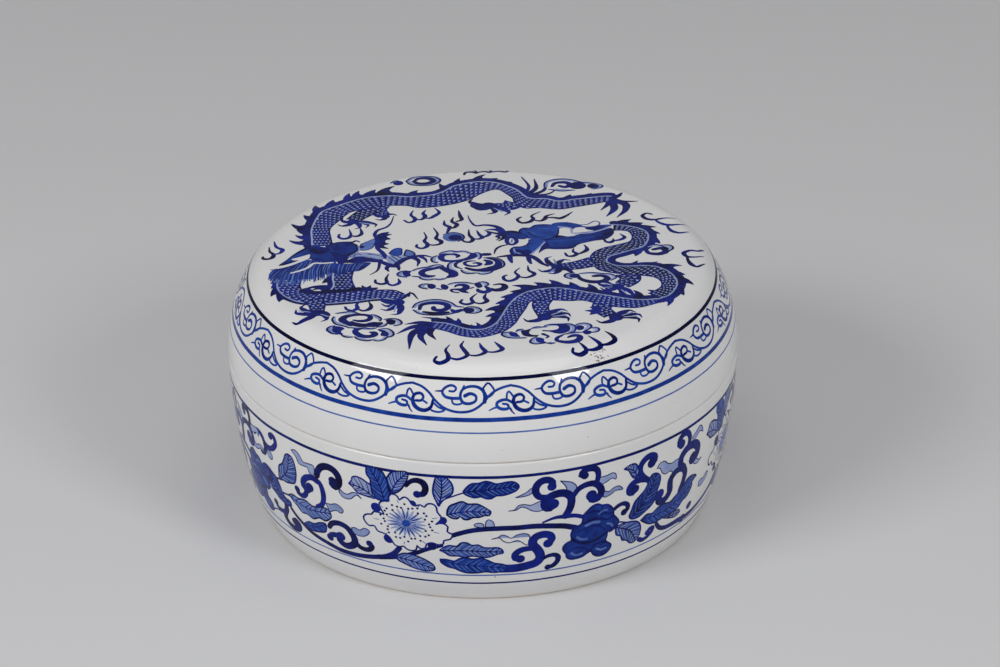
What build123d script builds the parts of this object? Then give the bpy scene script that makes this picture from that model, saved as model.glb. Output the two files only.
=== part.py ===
"""Porcelain seal paste box: a round, low box of two thrown pieces that holds a cake of red seal paste.

The lid sits over an upright lip on the base, rim to rim on unglazed biscuit. Lengths are in millimetres.
The origin is at the centre of the foot ring on the ground, and +Z is up.
"""
from build123d import *
from math import atan2, degrees
import os

# Whole box
box_radius = 70.0             # widest, at the joint between lid and base
base_height = 45.5            # foot to the rim that the lid rests on
lid_height = 25.7             # rim to the crown

# Base: belly, foot and well
foot_line_inset = 5.5         # from the box's radius in to the line where the belly turns to the foot
foot_line_height = 6.2
foot_inset = 8.4              # from the box's radius in to the outside of the foot ring
foot_ring_width = 4.2
foot_bead_radius = 0.8        # worn, rounded edges of the unglazed foot ring
recess_depth = 4.6            # glazed hollow under the floor
recess_corner_radius = 1.6
floor_thickness = 4.2
well_corner_radius = 12.0     # sweep of the well's wall into its floor

# Joint: seat, lip and rim
lid_wall = 4.4
lip_clearance = 0.6           # all round, for two pieces fired apart
lip_thickness = 2.4
lip_height = 5.0
lip_edge_radius = 0.9
rim_edge_radius = 0.7         # both rims are rounded off where they meet

# Lid: skirt, shoulder, soft edge and crown
skirt_height = 0.5            # straight, above the rim's rounded edge
top_edge_radius = 8.0         # section of the soft edge between the shoulder and the crown
top_edge_inset = 12.65        # from the box's radius in to the centre of that section
crown_rise = 0.5              # from the soft edge to the middle of the top
lid_top_thickness = 4.8
lid_corner_radius = 13.5      # inside, from the wall to the ceiling

# Seal paste: a smoothed mound on the well's floor
paste_gap = 11.1              # from the well's wall to the swell of the mound
paste_bulge = 3.5             # how far the side swells beyond its foot
paste_bulge_height = 5.5
paste_height = 19.0
paste_crown_inset = 15.5      # from the swell in to the nearly level middle
paste_crown_drop = 3.0

# Places that follow from these sizes
foot_line_radius = box_radius - foot_line_inset
foot_radius = box_radius - foot_inset
recess_radius = foot_radius - foot_ring_width
rim_inner_radius = box_radius - lid_wall
lip_outer_radius = rim_inner_radius - lip_clearance
well_radius = lip_outer_radius - lip_thickness
lip_top = base_height + lip_height
floor_height = recess_depth + floor_thickness
box_height = base_height + lid_height
lid_ceiling = box_height - lid_top_thickness


def revolved(outline, rounds):
    """Rounds the named corners of a closed outline, as (radius, corner) pairs, and turns it about Z."""
    section = make_face(outline)
    for radius, corner in rounds:
        section = fillet(section.vertices().sort_by_distance(corner)[0], radius)
    return revolve(Plane.XZ * section, Axis.Z)


def box_base():
    """The lower half: foot ring, bellied wall, thick floor, seat for the lid and the upright lip."""
    foot_outside, foot_inside = (foot_radius, 0), (recess_radius, 0)
    recess_corner = (recess_radius, recess_depth)
    floor_edge = (well_radius - well_corner_radius, floor_height)
    wall_foot = (well_radius, floor_height + well_corner_radius)
    lip_inside, lip_outside = (well_radius, lip_top), (lip_outer_radius, lip_top)
    rim = (box_radius, base_height)
    belly = TangentArc(rim, (foot_line_radius, foot_line_height), tangent=(0, -1))
    outline = [
        belly,
        Line(belly @ 1, foot_outside),
        Line(foot_outside, foot_inside),
        Line(foot_inside, recess_corner),
        Line(recess_corner, (0, recess_depth)),
        Line((0, recess_depth), (0, floor_height)),
        Line((0, floor_height), floor_edge),
        TangentArc(floor_edge, wall_foot, tangent=(1, 0)),
        Line(wall_foot, lip_inside),
        Line(lip_inside, lip_outside),
        Line(lip_outside, (lip_outer_radius, base_height)),
        Line((lip_outer_radius, base_height), rim),
    ]
    return revolved(outline, [
        (rim_edge_radius, rim),
        (lip_edge_radius, lip_outside),
        (lip_edge_radius, lip_inside),
        (foot_bead_radius, foot_outside),
        (foot_bead_radius, foot_inside),
        (recess_corner_radius, recess_corner),
    ])


def lid():
    """The upper half: a rim that drops round the lip, a short skirt, the shoulder and the nearly level top.

    The shoulder, the soft edge and the crown are three arcs, each one tangent to the next, and the shoulder
    runs on from the upright skirt.
    """
    skirt_top = base_height + rim_edge_radius + skirt_height
    edge_x = box_radius - top_edge_inset
    edge_z = box_height - crown_rise - top_edge_radius
    edge_rise = edge_z - skirt_top
    shoulder_radius = (top_edge_inset**2 + edge_rise**2 - top_edge_radius**2) / (
        2 * (top_edge_inset - top_edge_radius)
    )
    shoulder_angle = degrees(atan2(edge_rise, edge_x - (box_radius - shoulder_radius)))
    crown_radius = (edge_x**2 + (crown_rise + top_edge_radius) ** 2 - top_edge_radius**2) / (2 * crown_rise)
    crown_z = box_height - crown_radius
    crown_angle = degrees(atan2(edge_z - crown_z, edge_x))
    rim, rim_inside = (box_radius, base_height), (rim_inner_radius, base_height)
    wall_top = (rim_inner_radius, lid_ceiling - lid_corner_radius)
    ceiling_edge = (rim_inner_radius - lid_corner_radius, lid_ceiling)
    outline = [
        Line(rim_inside, rim),
        Line(rim, (box_radius, skirt_top)),
        CenterArc((box_radius - shoulder_radius, skirt_top), shoulder_radius, 0, shoulder_angle),
        CenterArc((edge_x, edge_z), top_edge_radius, shoulder_angle, crown_angle - shoulder_angle),
        CenterArc((0, crown_z), crown_radius, crown_angle, 90 - crown_angle),
        Line((0, box_height), (0, lid_ceiling)),
        Line((0, lid_ceiling), ceiling_edge),
        TangentArc(ceiling_edge, wall_top, tangent=(1, 0)),
        Line(wall_top, rim_inside),
    ]
    print("shoulder section radius", round(shoulder_radius, 2), "up to", round(shoulder_angle, 2), "degrees")
    return revolved(outline, [(rim_edge_radius, rim), (rim_edge_radius, rim_inside)])


def seal_paste():
    """The cake of paste as it is left after use: gathered clear of the wall and smoothed to a low mound."""
    swell_radius = well_radius - paste_gap
    foot = (swell_radius - paste_bulge, floor_height)
    swell = (swell_radius, floor_height + paste_bulge_height)
    top = (0, floor_height + paste_height)
    crown = (swell_radius - paste_crown_inset, floor_height + paste_height - paste_crown_drop)
    outline = [
        Line((0, floor_height), foot),
        TangentArc(swell, foot, tangent=(0, -1)),
        TangentArc(swell, crown, tangent=(0, 1)),
        TangentArc(top, crown, tangent=(1, 0)),
        Line(top, (0, floor_height)),
    ]
    return revolved(outline, [])


os.makedirs("parts", exist_ok=True)
for name, piece in (("box_base", box_base()), ("lid", lid()), ("seal_paste", seal_paste())):
    piece.label = name
    export_step(piece, f"parts/{name}.step")
    print(name, "volume", round(piece.volume / 1000, 1), "cm3, valid", piece.is_valid)
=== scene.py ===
"""The looks of a round porcelain seal paste box, painted in cobalt blue under a clear glaze.

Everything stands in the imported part's own frame, in metres: +Z is up, -Y is the front and +X is to the right.
"""
import math
import random

import bpy
import numpy as np
from mathutils import Matrix, Vector
from mathutils.geometry import delaunay_2d_cdt, tessellate_polygon


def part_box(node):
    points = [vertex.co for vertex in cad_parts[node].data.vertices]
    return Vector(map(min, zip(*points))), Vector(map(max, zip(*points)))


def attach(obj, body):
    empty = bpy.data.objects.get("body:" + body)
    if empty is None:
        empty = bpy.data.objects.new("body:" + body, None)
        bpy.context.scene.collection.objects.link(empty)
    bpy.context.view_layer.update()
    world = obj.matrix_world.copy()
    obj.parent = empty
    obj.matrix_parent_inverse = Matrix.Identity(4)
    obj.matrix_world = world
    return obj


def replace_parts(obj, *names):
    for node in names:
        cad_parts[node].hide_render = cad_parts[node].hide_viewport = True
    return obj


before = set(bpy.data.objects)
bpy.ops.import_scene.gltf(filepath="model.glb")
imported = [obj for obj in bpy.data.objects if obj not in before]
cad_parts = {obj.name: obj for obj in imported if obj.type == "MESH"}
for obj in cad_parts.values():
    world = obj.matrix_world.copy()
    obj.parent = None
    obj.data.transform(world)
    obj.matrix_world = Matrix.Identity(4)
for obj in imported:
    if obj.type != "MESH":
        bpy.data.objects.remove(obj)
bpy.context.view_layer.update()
_, base_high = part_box("box_base")
lid_low, lid_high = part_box("lid")
paste_low, paste_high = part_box("seal_paste")

# Camera
# It looks down on the front of the box from about arm's length, a little to one side and hardly tilted.
camera_pitch = math.radians(26.83)
camera_roll = math.radians(0.65)
camera_distance = 1.0137
camera_right, camera_up = 0.00475, 0.04278


def stand(name, data):
    """A new object with its data, linked into the scene."""
    made = bpy.data.objects.new(name, data)
    bpy.context.scene.collection.objects.link(made)
    return made


right = Vector((1, 0, 0))
up = Vector((0, math.sin(camera_pitch), math.cos(camera_pitch)))
ahead = Vector((0, math.cos(camera_pitch), -math.sin(camera_pitch)))
image_right = math.cos(camera_roll) * right - math.sin(camera_roll) * up
image_up = math.sin(camera_roll) * right + math.cos(camera_roll) * up
camera = stand("camera", bpy.data.cameras.new("camera"))
camera.data.sensor_width = 36.0
camera.data.lens = 129.6
turn = Matrix((image_right, image_up, -ahead)).transposed().to_4x4()
camera_place = camera_right * right + camera_up * up - camera_distance * ahead
camera.matrix_world = Matrix.Translation(camera_place) @ turn
bpy.context.scene.camera = camera
bpy.context.scene.view_settings.view_transform = "Standard"

# Tabletop and backdrop
# A plain pale board that rises behind the box in one sweep, so that no edge or horizon shows.
board_half_width, board_front, board_back = 3.0, -3.0, 1.6
sweep_radius, sweep_steps, backdrop_height = 0.8, 24, 3.0


def add(tree, kind, inputs=None, **settings):
    """One node of a tree, with its settings, and its values or links by the names of its inputs."""
    made = tree.nodes.new(kind)
    for name, value in settings.items():
        setattr(made, name, value)
    for name, value in (inputs or {}).items():
        if isinstance(value, bpy.types.NodeSocket):
            tree.links.new(value, made.inputs[name])
        else:
            made.inputs[name].default_value = value
    return made


def new_material(name):
    """An empty material and its tree."""
    material = bpy.data.materials.new(name)
    material.use_nodes = True
    material.node_tree.nodes.clear()
    return material, material.node_tree


def noise(tree, place, scale, detail):
    """The grey of a noise over a place."""
    return add(tree, "ShaderNodeTexNoise", {"Vector": place, "Scale": scale, "Detail": detail}).outputs["Fac"]


def mix(tree, factor, one, other):
    """A colour from one to the other along a factor."""
    made = add(tree, "ShaderNodeMix", {"Factor": factor, "A": one, "B": other}, data_type="RGBA")
    return made.outputs["Result"]


sweep_start = board_back - sweep_radius
sweep = [(board_front, 0.0), (sweep_start, 0.0)]
for step in range(1, sweep_steps + 1):
    angle = math.radians(90 * step / sweep_steps)
    sweep.append((sweep_start + sweep_radius * math.sin(angle), sweep_radius * (1 - math.cos(angle))))
sweep.append((board_back, backdrop_height))
corners = [(side, y, z) for y, z in sweep for side in (-board_half_width, board_half_width)]
faces = [(2 * i, 2 * i + 1, 2 * i + 3, 2 * i + 2) for i in range(len(sweep) - 1)]
board = stand("tabletop", bpy.data.meshes.new("tabletop"))
board.data.from_pydata(corners, [], faces)
for face in board.data.polygons:
    face.use_smooth = True
board_paint, tree = new_material("board_paint")
place = add(tree, "ShaderNodeTexCoord").outputs["Object"]
shade = mix(tree, noise(tree, place, 3.0, 3.0), (0.66, 0.66, 0.67, 1), (0.7, 0.7, 0.705, 1))
surface = add(tree, "ShaderNodeBsdfPrincipled", {"Base Color": shade, "Roughness": 0.75})
add(tree, "ShaderNodeOutputMaterial", {"Surface": surface.outputs["BSDF"]})
board.data.materials.append(board_paint)

# Lamps and room
# Two soft boxes, at the left and the right of the front, and a wide faint one overhead, in a dim white room.


def soft_lamp(name, azimuth, elevation, distance, size, glow):
    """A soft box lamp that faces the box, of an even glow over its whole face."""
    lamp = bpy.data.lights.new(name, "AREA")
    lamp.shape = "RECTANGLE"
    lamp.size, lamp.size_y = size
    lamp.energy = glow * math.pi * size[0] * size[1]
    turn, rise = math.radians(azimuth), math.radians(elevation)
    away = Vector((math.sin(turn) * math.cos(rise), -math.cos(turn) * math.cos(rise), math.sin(rise)))
    holder = stand(name, lamp)
    holder.location = away * distance
    holder.rotation_euler = away.to_track_quat("Z", "Y").to_euler()


soft_lamp("left_lamp", -52, 36, 1.3, (0.5, 0.32), 11)
soft_lamp("right_lamp", 43, 36, 1.3, (0.34, 0.32), 11)
soft_lamp("top_lamp", 10, 78, 1.5, (1.3, 1.0), 0.9)
world = bpy.data.worlds.new("room")
world.use_nodes = True
world.node_tree.nodes["Background"].inputs["Color"].default_value = (0.985, 0.985, 1.0, 1)
world.node_tree.nodes["Background"].inputs["Strength"].default_value = 0.28
bpy.context.scene.world = world

# Lower half of the box
# One thrown piece of porcelain: foot ring, belly, thick floor, seat and upright lip, dipped in clear glaze.
# The foot ring, the seat and the lip's top are wiped clean before firing, and show the bare cream biscuit.
mm = 0.001
around = 360
box_radius = base_high.x / mm
joint_height = lid_low.z / mm
lip_top = base_high.z / mm
floor_top = paste_low.z / mm
foot_line_inset, foot_line_height = 5.5, 6.2
foot_line_radius = box_radius - foot_line_inset
foot_outside, foot_inside, foot_bead = box_radius - 8.4, box_radius - 12.6, 0.8
recess_top, recess_round = 4.6, 1.6
belly_section_radius = ((joint_height - foot_line_height) ** 2 + foot_line_inset**2) / (2 * foot_line_inset)
belly_centre = (box_radius - belly_section_radius, joint_height)
rim_round, rim_wiped, lip_round = 0.7, 0.12, 0.9
lip_outside, lip_inside = box_radius - 5.0, box_radius - 7.4
well_round = 12.0
crisp_angle = math.radians(20)
glaze_roughness, biscuit_roughness = 0.045, 0.85


def arc(centre, radius, start, end, step, bare=0):
    """(radius, height, bare) points round an arc in a section, between two angles, about step mm apart."""
    count = max(2, math.ceil(abs(math.radians(end - start)) * radius / step))
    angles = [math.radians(start + (end - start) * i / count) for i in range(count + 1)]
    return [(centre[0] + radius * math.cos(a), centre[1] + radius * math.sin(a), bare) for a in angles]


def thrown(name, outline, material):
    """A piece turned about Z from its outline, which goes from the axis round to the axis.

    The outline is (radius, height, bare) points: bare is 1 where the biscuit shows and 0 under the glaze.
    Corners of over the crisp angle stay crisp.
    """
    points = np.array([p[:2] for p in outline])
    steps = np.diff(points, axis=0)
    steps /= np.linalg.norm(steps, axis=1)[:, None]
    facing = np.stack([steps[:, 1], -steps[:, 0]], axis=1)
    angles = np.arange(around) * 2 * math.pi / around
    turned, rows = [], []
    for r, z in points:
        if r < 1e-6:
            rows.append([len(turned)] * around)
            turned.append((0, 0, z * mm))
        else:
            rows.append(list(range(len(turned), len(turned) + around)))
            turned += [(r * mm * math.sin(a), -r * mm * math.cos(a), z * mm) for a in angles]
    faces, normals = [], []
    for i, (low, high) in enumerate(zip(rows, rows[1:])):
        ends = []
        for side in (i - 1, i + 1):
            joined = 0 <= side < len(facing) and facing[i] @ facing[side] > math.cos(crisp_angle)
            lean = facing[i] + facing[side] if joined else facing[i]
            ends.append(lean / np.linalg.norm(lean))
        for j in range(around):
            k = (j + 1) % around
            corners = [(low[j], j, 0), (low[k], k, 0), (high[k], k, 1), (high[j], j, 1)]
            if low[j] == low[k]:
                corners.pop(0)
            if high[j] == high[k]:
                corners.pop(-1)
            faces.append([c[0] for c in corners])
            for _, turn, end in corners:
                out, rise = ends[end]
                normals.append((out * math.sin(angles[turn]), -out * math.cos(angles[turn]), rise))
    mesh = bpy.data.meshes.new(name)
    mesh.from_pydata(turned, [], faces)
    mesh.attributes.new("bare", "FLOAT", "POINT").data.foreach_set(
        "value", [p[2] for p, row in zip(outline, rows) for _ in sorted(set(row))])
    mesh.normals_split_custom_set(normals)
    mesh.materials.append(material)
    return stand(name, mesh)


def reckon(tree, operation, *values):
    """The result of a sum on values or links."""
    return add(tree, "ShaderNodeMath", dict(enumerate(values)), operation=operation).outputs[0]


def spread(tree, value, low, high, to_low=0.0, to_high=1.0):
    """A value carried from the range between low and high to another, and held at its ends."""
    ends = {"From Min": low, "From Max": high, "To Min": to_low, "To Max": to_high}
    return add(tree, "ShaderNodeMapRange", {"Value": value, **ends}).outputs["Result"]


def glazed(tree, colour, bare=None, sheen=0.5):
    """The surface under a clear glaze: a sharp gloss over slow ripples, or dry biscuit where bare is 1."""
    place = add(tree, "ShaderNodeTexCoord").outputs["Object"]
    ripple = noise(tree, place, 75.0, 1.0)
    bump = add(tree, "ShaderNodeBump", {"Height": ripple, "Strength": 0.35, "Distance": 0.0004})
    inputs = {"Base Color": colour, "Roughness": glaze_roughness, "Normal": bump.outputs["Normal"],
              "IOR": 1.5, "Specular IOR Level": sheen}
    if bare is not None:
        gritty = reckon(tree, "MULTIPLY", noise(tree, place, 2200.0, 4.0), bare)
        grit = add(tree, "ShaderNodeBump", {"Height": gritty, "Strength": 0.5, "Distance": 0.0002,
                                            "Normal": bump.outputs["Normal"]})
        inputs["Roughness"] = spread(tree, bare, 0.0, 1.0, glaze_roughness, biscuit_roughness)
        inputs["Normal"] = grit.outputs["Normal"]
    surface = add(tree, "ShaderNodeBsdfPrincipled", inputs)
    add(tree, "ShaderNodeOutputMaterial", {"Surface": surface.outputs["BSDF"]})


def ramp(tree, factor, stops):
    """Colours along a factor, from (place, (red, green, blue)) stops."""
    made = add(tree, "ShaderNodeValToRGB", {"Fac": factor})
    while len(made.color_ramp.elements) < len(stops):
        made.color_ramp.elements.new(0.5)
    for element, (place, colour) in zip(made.color_ramp.elements, stops):
        element.position = place
        element.color = (*colour, 1)
    return made.outputs["Color"]


glaze_colours = [(0.3, (0.75, 0.752, 0.765)), (0.55, (0.79, 0.787, 0.785)), (0.8, (0.805, 0.798, 0.785))]
biscuit_colours = [
    (0.47, (0.3, 0.17, 0.09)),
    (0.6, (0.6, 0.48, 0.36)),
    (0.7, (0.76, 0.7, 0.62)),
    (0.82, (0.8, 0.76, 0.7)),
]
grit_place = (0.0306, -0.0552, 0.07)


def porcelain(name):
    """White porcelain, its glaze faintly clouded and specked, and cream biscuit, toasted where that ends."""
    material, tree = new_material(name)
    place = add(tree, "ShaderNodeTexCoord").outputs["Object"]
    clouding = noise(tree, place, 24.0, 3.0)
    toast = noise(tree, place, 160.0, 5.0)
    bare = add(tree, "ShaderNodeAttribute", attribute_name="bare").outputs["Fac"]
    creep = reckon(tree, "ADD", toast, bare)
    edge = spread(tree, creep, 0.85, 1.15)
    dryness = spread(tree, creep, 0.0, 2.0)
    colour = mix(tree, edge, ramp(tree, clouding, glaze_colours), ramp(tree, dryness, biscuit_colours))
    near = add(tree, "ShaderNodeTexVoronoi", {"Vector": place, "Scale": 80.0}).outputs["Distance"]
    pit = spread(tree, near, 0.025, 0.012)
    reach = add(tree, "ShaderNodeVectorMath", {0: place, 1: grit_place}, operation="DISTANCE")
    crowd = spread(tree, reach.outputs["Value"], 0.006, 0.0, 0.0, 0.3)
    sand = noise(tree, place, 1300.0, 2.0)
    patch = spread(tree, reckon(tree, "ADD", sand, crowd), 0.76, 0.84)
    stuck = reckon(tree, "MAXIMUM", pit, patch)
    glazed(tree, mix(tree, stuck, colour, (0.2, 0.11, 0.06, 1)), edge)
    return material


base_outline = [(0, recess_top, 0), (20, recess_top, 0), (45, recess_top, 0)]
base_outline += arc((foot_inside - recess_round, recess_top - recess_round), recess_round, 90, 0, 0.4)
base_outline += [(foot_inside, 1.3, 0), (foot_inside, 1.1, 1)]
base_outline += arc((foot_inside + foot_bead, foot_bead), foot_bead, 180, 270, 0.2, bare=1)
foot_flare = foot_line_radius - foot_outside
foot_slope = math.degrees(math.atan2(foot_line_height, foot_flare))
bead_tangent = foot_bead / math.tan(math.radians((180 - foot_slope) / 2))
base_outline += arc((foot_outside - bead_tangent, foot_bead), foot_bead, 270, 270 + foot_slope, 0.2, bare=1)
for share, bare in ((0.1, 1), (0.12, 0), (0.6, 0)):
    base_outline.append((foot_outside + foot_flare * share, foot_line_height * share, bare))
foot_line_angle = math.degrees(math.asin((joint_height - foot_line_height) / belly_section_radius))
rim_angle = math.degrees(math.asin(rim_round / belly_section_radius))
base_outline += arc(belly_centre, belly_section_radius, -foot_line_angle, -rim_angle, 1.2)
rim = arc((box_radius - rim_round, joint_height - rim_round), rim_round, 0, 90, 0.12)
base_outline += [(r, z, 1 if z > joint_height - rim_wiped else 0) for r, z, _ in rim]
base_outline += [(lip_outside, joint_height, 1), (lip_outside, joint_height + 2, 1)]
base_outline += arc((lip_outside - lip_round, lip_top - lip_round), lip_round, 0, 90, 0.2, bare=1)
base_outline += arc((lip_inside + lip_round, lip_top - lip_round), lip_round, 90, 180, 0.2, bare=1)
base_outline += [(lip_inside, lip_top - 1.6, 1), (lip_inside, lip_top - 1.8, 0)]
base_outline += [(lip_inside, 36, 0), (lip_inside, 28, 0)]
base_outline += arc((lip_inside - well_round, floor_top + well_round), well_round, 0, -90, 1.0)
base_outline += [(40, floor_top, 0), (20, floor_top, 0), (0, floor_top, 0)]
base_body = thrown("base_porcelain", base_outline, porcelain("base_glaze"))
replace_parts(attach(base_body, "base"), "box_base")

# Painting on the lower half
# Cobalt brushed on the raw body before the glaze goes on: a scroll of lotus and peony between ruled rings.
# Each strength of blue lies as a film a hair over the porcelain that it is fired to.
film_lift = 0.03
turning_radius = 69.3
per_degree = math.radians(turning_radius)
load_picks = random.Random(11)


def cobalt(name, thick, thin):
    """Fired cobalt between its thick and its thin colour: each stroke has its own load, pooled unevenly."""
    material, tree = new_material(name)
    place = add(tree, "ShaderNodeTexCoord").outputs["Object"]
    pool = noise(tree, place, 330.0, 3.0)
    load = add(tree, "ShaderNodeAttribute", attribute_name="load").outputs["Fac"]
    depth = spread(tree, reckon(tree, "MULTIPLY_ADD", pool, 2.2, load), 0.85, 2.35)
    glazed(tree, ramp(tree, depth, [(0.0, thick), (1.0, thin)]), sheen=0.1)
    return material


cobalts = {
    "pooled": cobalt("cobalt_pooled", (0.0004, 0.0006, 0.009), (0.001, 0.0035, 0.06)),
    "ink": cobalt("cobalt_ink", (0.0004, 0.0007, 0.03), (0.004, 0.017, 0.25)),
    "blue": cobalt("cobalt_blue", (0.001, 0.009, 0.15), (0.016, 0.075, 0.4)),
    "wash": cobalt("cobalt_wash", (0.028, 0.075, 0.34), (0.14, 0.23, 0.56)),
    "tint": cobalt("cobalt_tint", (0.19, 0.26, 0.52), (0.4, 0.46, 0.68)),
}


def eased(points, closed=False, step=0.5):
    """A smooth line through given points, about step mm between places; further columns ease alike."""
    knots = np.array(points, float)
    if closed:
        knots = np.vstack([knots[-1:], knots, knots[:2]])
    else:
        knots = np.vstack([2 * knots[0] - knots[1], knots, 2 * knots[-1] - knots[-2]])
    spans = np.maximum(np.linalg.norm(np.diff(knots, axis=0), axis=1), 1e-3)
    roots = spans**0.5
    made = []
    for i in range(1, len(knots) - 2):
        a, b, c, d = knots[i - 1:i + 3]
        ab, bc, cd = roots[i - 1:i + 2]
        leave = bc * ((b - a) / ab - (c - a) / (ab + bc) + (c - b) / bc)
        arrive = bc * ((c - b) / bc - (d - b) / (bc + cd) + (d - c) / cd)
        count = max(1, math.ceil(spans[i] / step))
        t = np.arange(count)[:, None] / count
        made.append((2 * t**3 - 3 * t**2 + 1) * b + (t**3 - 2 * t**2 + t) * leave
                    + (3 * t**2 - 2 * t**3) * c + (t**3 - t**2) * arrive)
    return np.vstack(made + ([] if closed else [knots[-2:-1]]))


class Sheet:
    """A flat sheet of brush strokes, one over another. Its scale turns places into mm; widths are in mm."""

    def __init__(self, across=1.0, up=1.0, step=0.5):
        self.scale = np.array((across, up))
        self.step = step
        self.strokes = []

    def line(self, pigment, widths, points):
        """A stroke along a line, of one width or of several spread along it, with round ends."""
        places = np.array(points, float) * self.scale
        widths = np.atleast_1d(widths)
        widths = np.interp(np.linspace(0, 1, len(places)), np.linspace(0, 1, len(widths)), widths)
        path = eased(np.column_stack([places, widths]), step=self.step)
        ahead = np.gradient(path[:, :2], axis=0)
        ahead /= np.maximum(np.linalg.norm(ahead, axis=1), 1e-9)[:, None]
        side = np.stack([-ahead[:, 1], ahead[:, 0]], axis=1) * path[:, 2:] / 2
        left, right = path[:, :2] + side, path[:, :2] - side
        cut = []
        for i in range(len(path) - 1):
            cut += [(left[i], right[i], right[i + 1]), (left[i], right[i + 1], left[i + 1])]
        for end, way in ((0, -0.5), (-1, 0.5)):
            tip = ahead[end] * way * path[end, 2]
            turns = [math.pi * k / 4 for k in range(5)]
            rim = [path[end, :2] + side[end] * math.cos(a) + tip * math.sin(a) for a in turns]
            cut += [(path[end, :2], rim[k], rim[k + 1]) for k in range(4)]
        self.strokes.append((pigment, cut))

    def fill(self, pigment, points):
        """A shape filled with the brush; pigment None keeps the white of the body."""
        edge = eased(np.array(points, float) * self.scale, closed=True, step=self.step)
        pieces = tessellate_polygon([[Vector((*p, 0)) for p in edge]])
        self.strokes.append((pigment, [[edge[i] for i in corners] for corners in pieces]))

    def edged(self, pigment, points, width=0.32, line="ink"):
        """A filled shape with a fine outline."""
        self.fill(pigment, points)
        self.line(line, width, [*points, points[0]])

    def dab(self, pigment, x, y, rx, ry=None):
        """A round touch of the brush, with its radii in mm."""
        turns = [math.tau * k / 8 for k in range(8)]
        self.fill(pigment, [(x + rx * math.cos(a) / abs(self.scale[0]),
                             y + (ry or rx) * math.sin(a) / abs(self.scale[1])) for a in turns])

    def veins(self, points, rib, count, pigment="ink", widths=(0.34, 0.2)):
        """The midrib of a leaf and its side veins, which slant nearly to the edge."""
        edge = eased(np.array(points, float) * self.scale, closed=True)
        spine = eased(np.array(rib, float) * self.scale, step=0.3)
        self.line(pigment, (widths[0] * 1.3, widths[0]), rib)
        spans = np.roll(edge, -1, axis=0) - edge
        for k in range(count):
            i = int((len(spine) - 2) * (k + 0.4) / (count + 0.2))
            root, way = spine[i], spine[i + 1] - spine[i]
            way = way / max(np.linalg.norm(way), 1e-9)
            for turn in (50, -50):
                c, s = math.cos(math.radians(turn)), math.sin(math.radians(turn))
                ray = np.array((way[0] * c - way[1] * s, way[0] * s + way[1] * c))
                cross = ray[0] * spans[:, 1] - ray[1] * spans[:, 0]
                cross = np.where(abs(cross) < 1e-9, 1e-9, cross)
                gap = edge - root
                far = (gap[:, 0] * spans[:, 1] - gap[:, 1] * spans[:, 0]) / cross
                along = (gap[:, 0] * ray[1] - gap[:, 1] * ray[0]) / cross
                hits = far[(far > 0.15) & (along >= 0) & (along <= 1)]
                if len(hits):
                    reach = min(hits) * 0.84
                    bend = root + ray * reach * 0.5 + way * reach * 0.06
                    end = root + ray * reach + way * reach * 0.2
                    self.line(pigment, widths, np.array([root, bend, end]) / self.scale)

    def films(self, grid, low=None, high=None):
        """The sheet cut into triangles, {pigment: (places, triangles, loads)}; the last stroke is uppermost.

        With low and high, the sheet is one length of a pattern that repeats between those places across.
        """
        corners, faces, edges, index = [tuple(p) for p in grid], [], [], {}
        for number, (_, cut) in enumerate(self.strokes):
            cut = np.array(cut)
            for shift in ((0,) if low is None else (low - high, 0, high - low)):
                moved = cut + (shift, 0)
                if low is not None and (moved[..., 0].max() < low or moved[..., 0].min() > high):
                    continue
                sides = {}
                for triangle in np.round(moved, 3).tolist():
                    (ax, ay), (bx, by), (cx, cy) = triangle
                    area = (bx - ax) * (cy - ay) - (by - ay) * (cx - ax)
                    if abs(area) < 0.001:
                        continue
                    faces.append((number, np.array(triangle if area > 0 else triangle[::-1])))
                    face = []
                    for corner in triangle:
                        key = tuple(corner)
                        if key not in index:
                            index[key] = len(corners)
                            corners.append(key)
                        face.append(index[key])
                    for side in zip(face, face[1:] + face[:1]):
                        side = tuple(sorted(side))
                        sides[side] = sides.get(side, 0) + 1
                edges += [side for side, count in sides.items() if count == 1]
        if low is not None:
            for x in (low, high):
                edges.append((len(corners), len(corners) + 1))
                corners += [(x, -100.0), (x, 100.0)]
        made = delaunay_2d_cdt([Vector(c) for c in corners], edges, [], 0, 1e-5)
        places, triangles = np.array([tuple(p) for p in made[0]]), made[2]
        middles = places[np.array(triangles)].mean(axis=1)
        order = np.argsort(middles[:, 0])
        across = middles[order, 0]
        uppermost = np.full(len(triangles), -1)
        for number, corner in faces:
            first, last = np.searchsorted(across, (corner[:, 0].min(), corner[:, 0].max()))
            near = order[first:last]
            inside = np.ones(len(near), bool)
            for start, end in zip(corner, np.roll(corner, -1, axis=0)):
                gap = middles[near] - start
                inside &= (end[0] - start[0]) * gap[:, 1] - (end[1] - start[1]) * gap[:, 0] > -1e-6
            uppermost[near[inside]] = number
        loads = [load_picks.random() for _ in self.strokes]
        sorted_films = {}
        for face, middle, number in zip(triangles, middles, uppermost):
            pigment = self.strokes[number][0]
            beyond = low is not None and not low < middle[0] < high
            if number < 0 or pigment is None or beyond:
                continue
            kept, own = sorted_films.setdefault(pigment, ([], []))
            kept.append(face)
            own.append(loads[number])
        cut_films = {}
        for pigment, (kept, own) in sorted_films.items():
            used, where = np.unique(np.array(kept), return_inverse=True)
            cut_films[pigment] = (places[used], where.reshape(-1, 3).tolist(), own)
        return cut_films


def flat_mesh(name, places, triangles, loads):
    """A mesh of flat paint in mm, with the load of the brush on each face."""
    mesh = bpy.data.meshes.new(name)
    mesh.from_pydata([(x, y, 0) for x, y in places], [], triangles)
    mesh.attributes.new("load", "FLOAT", "FACE").data.foreach_set("value", loads)
    return mesh


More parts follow.
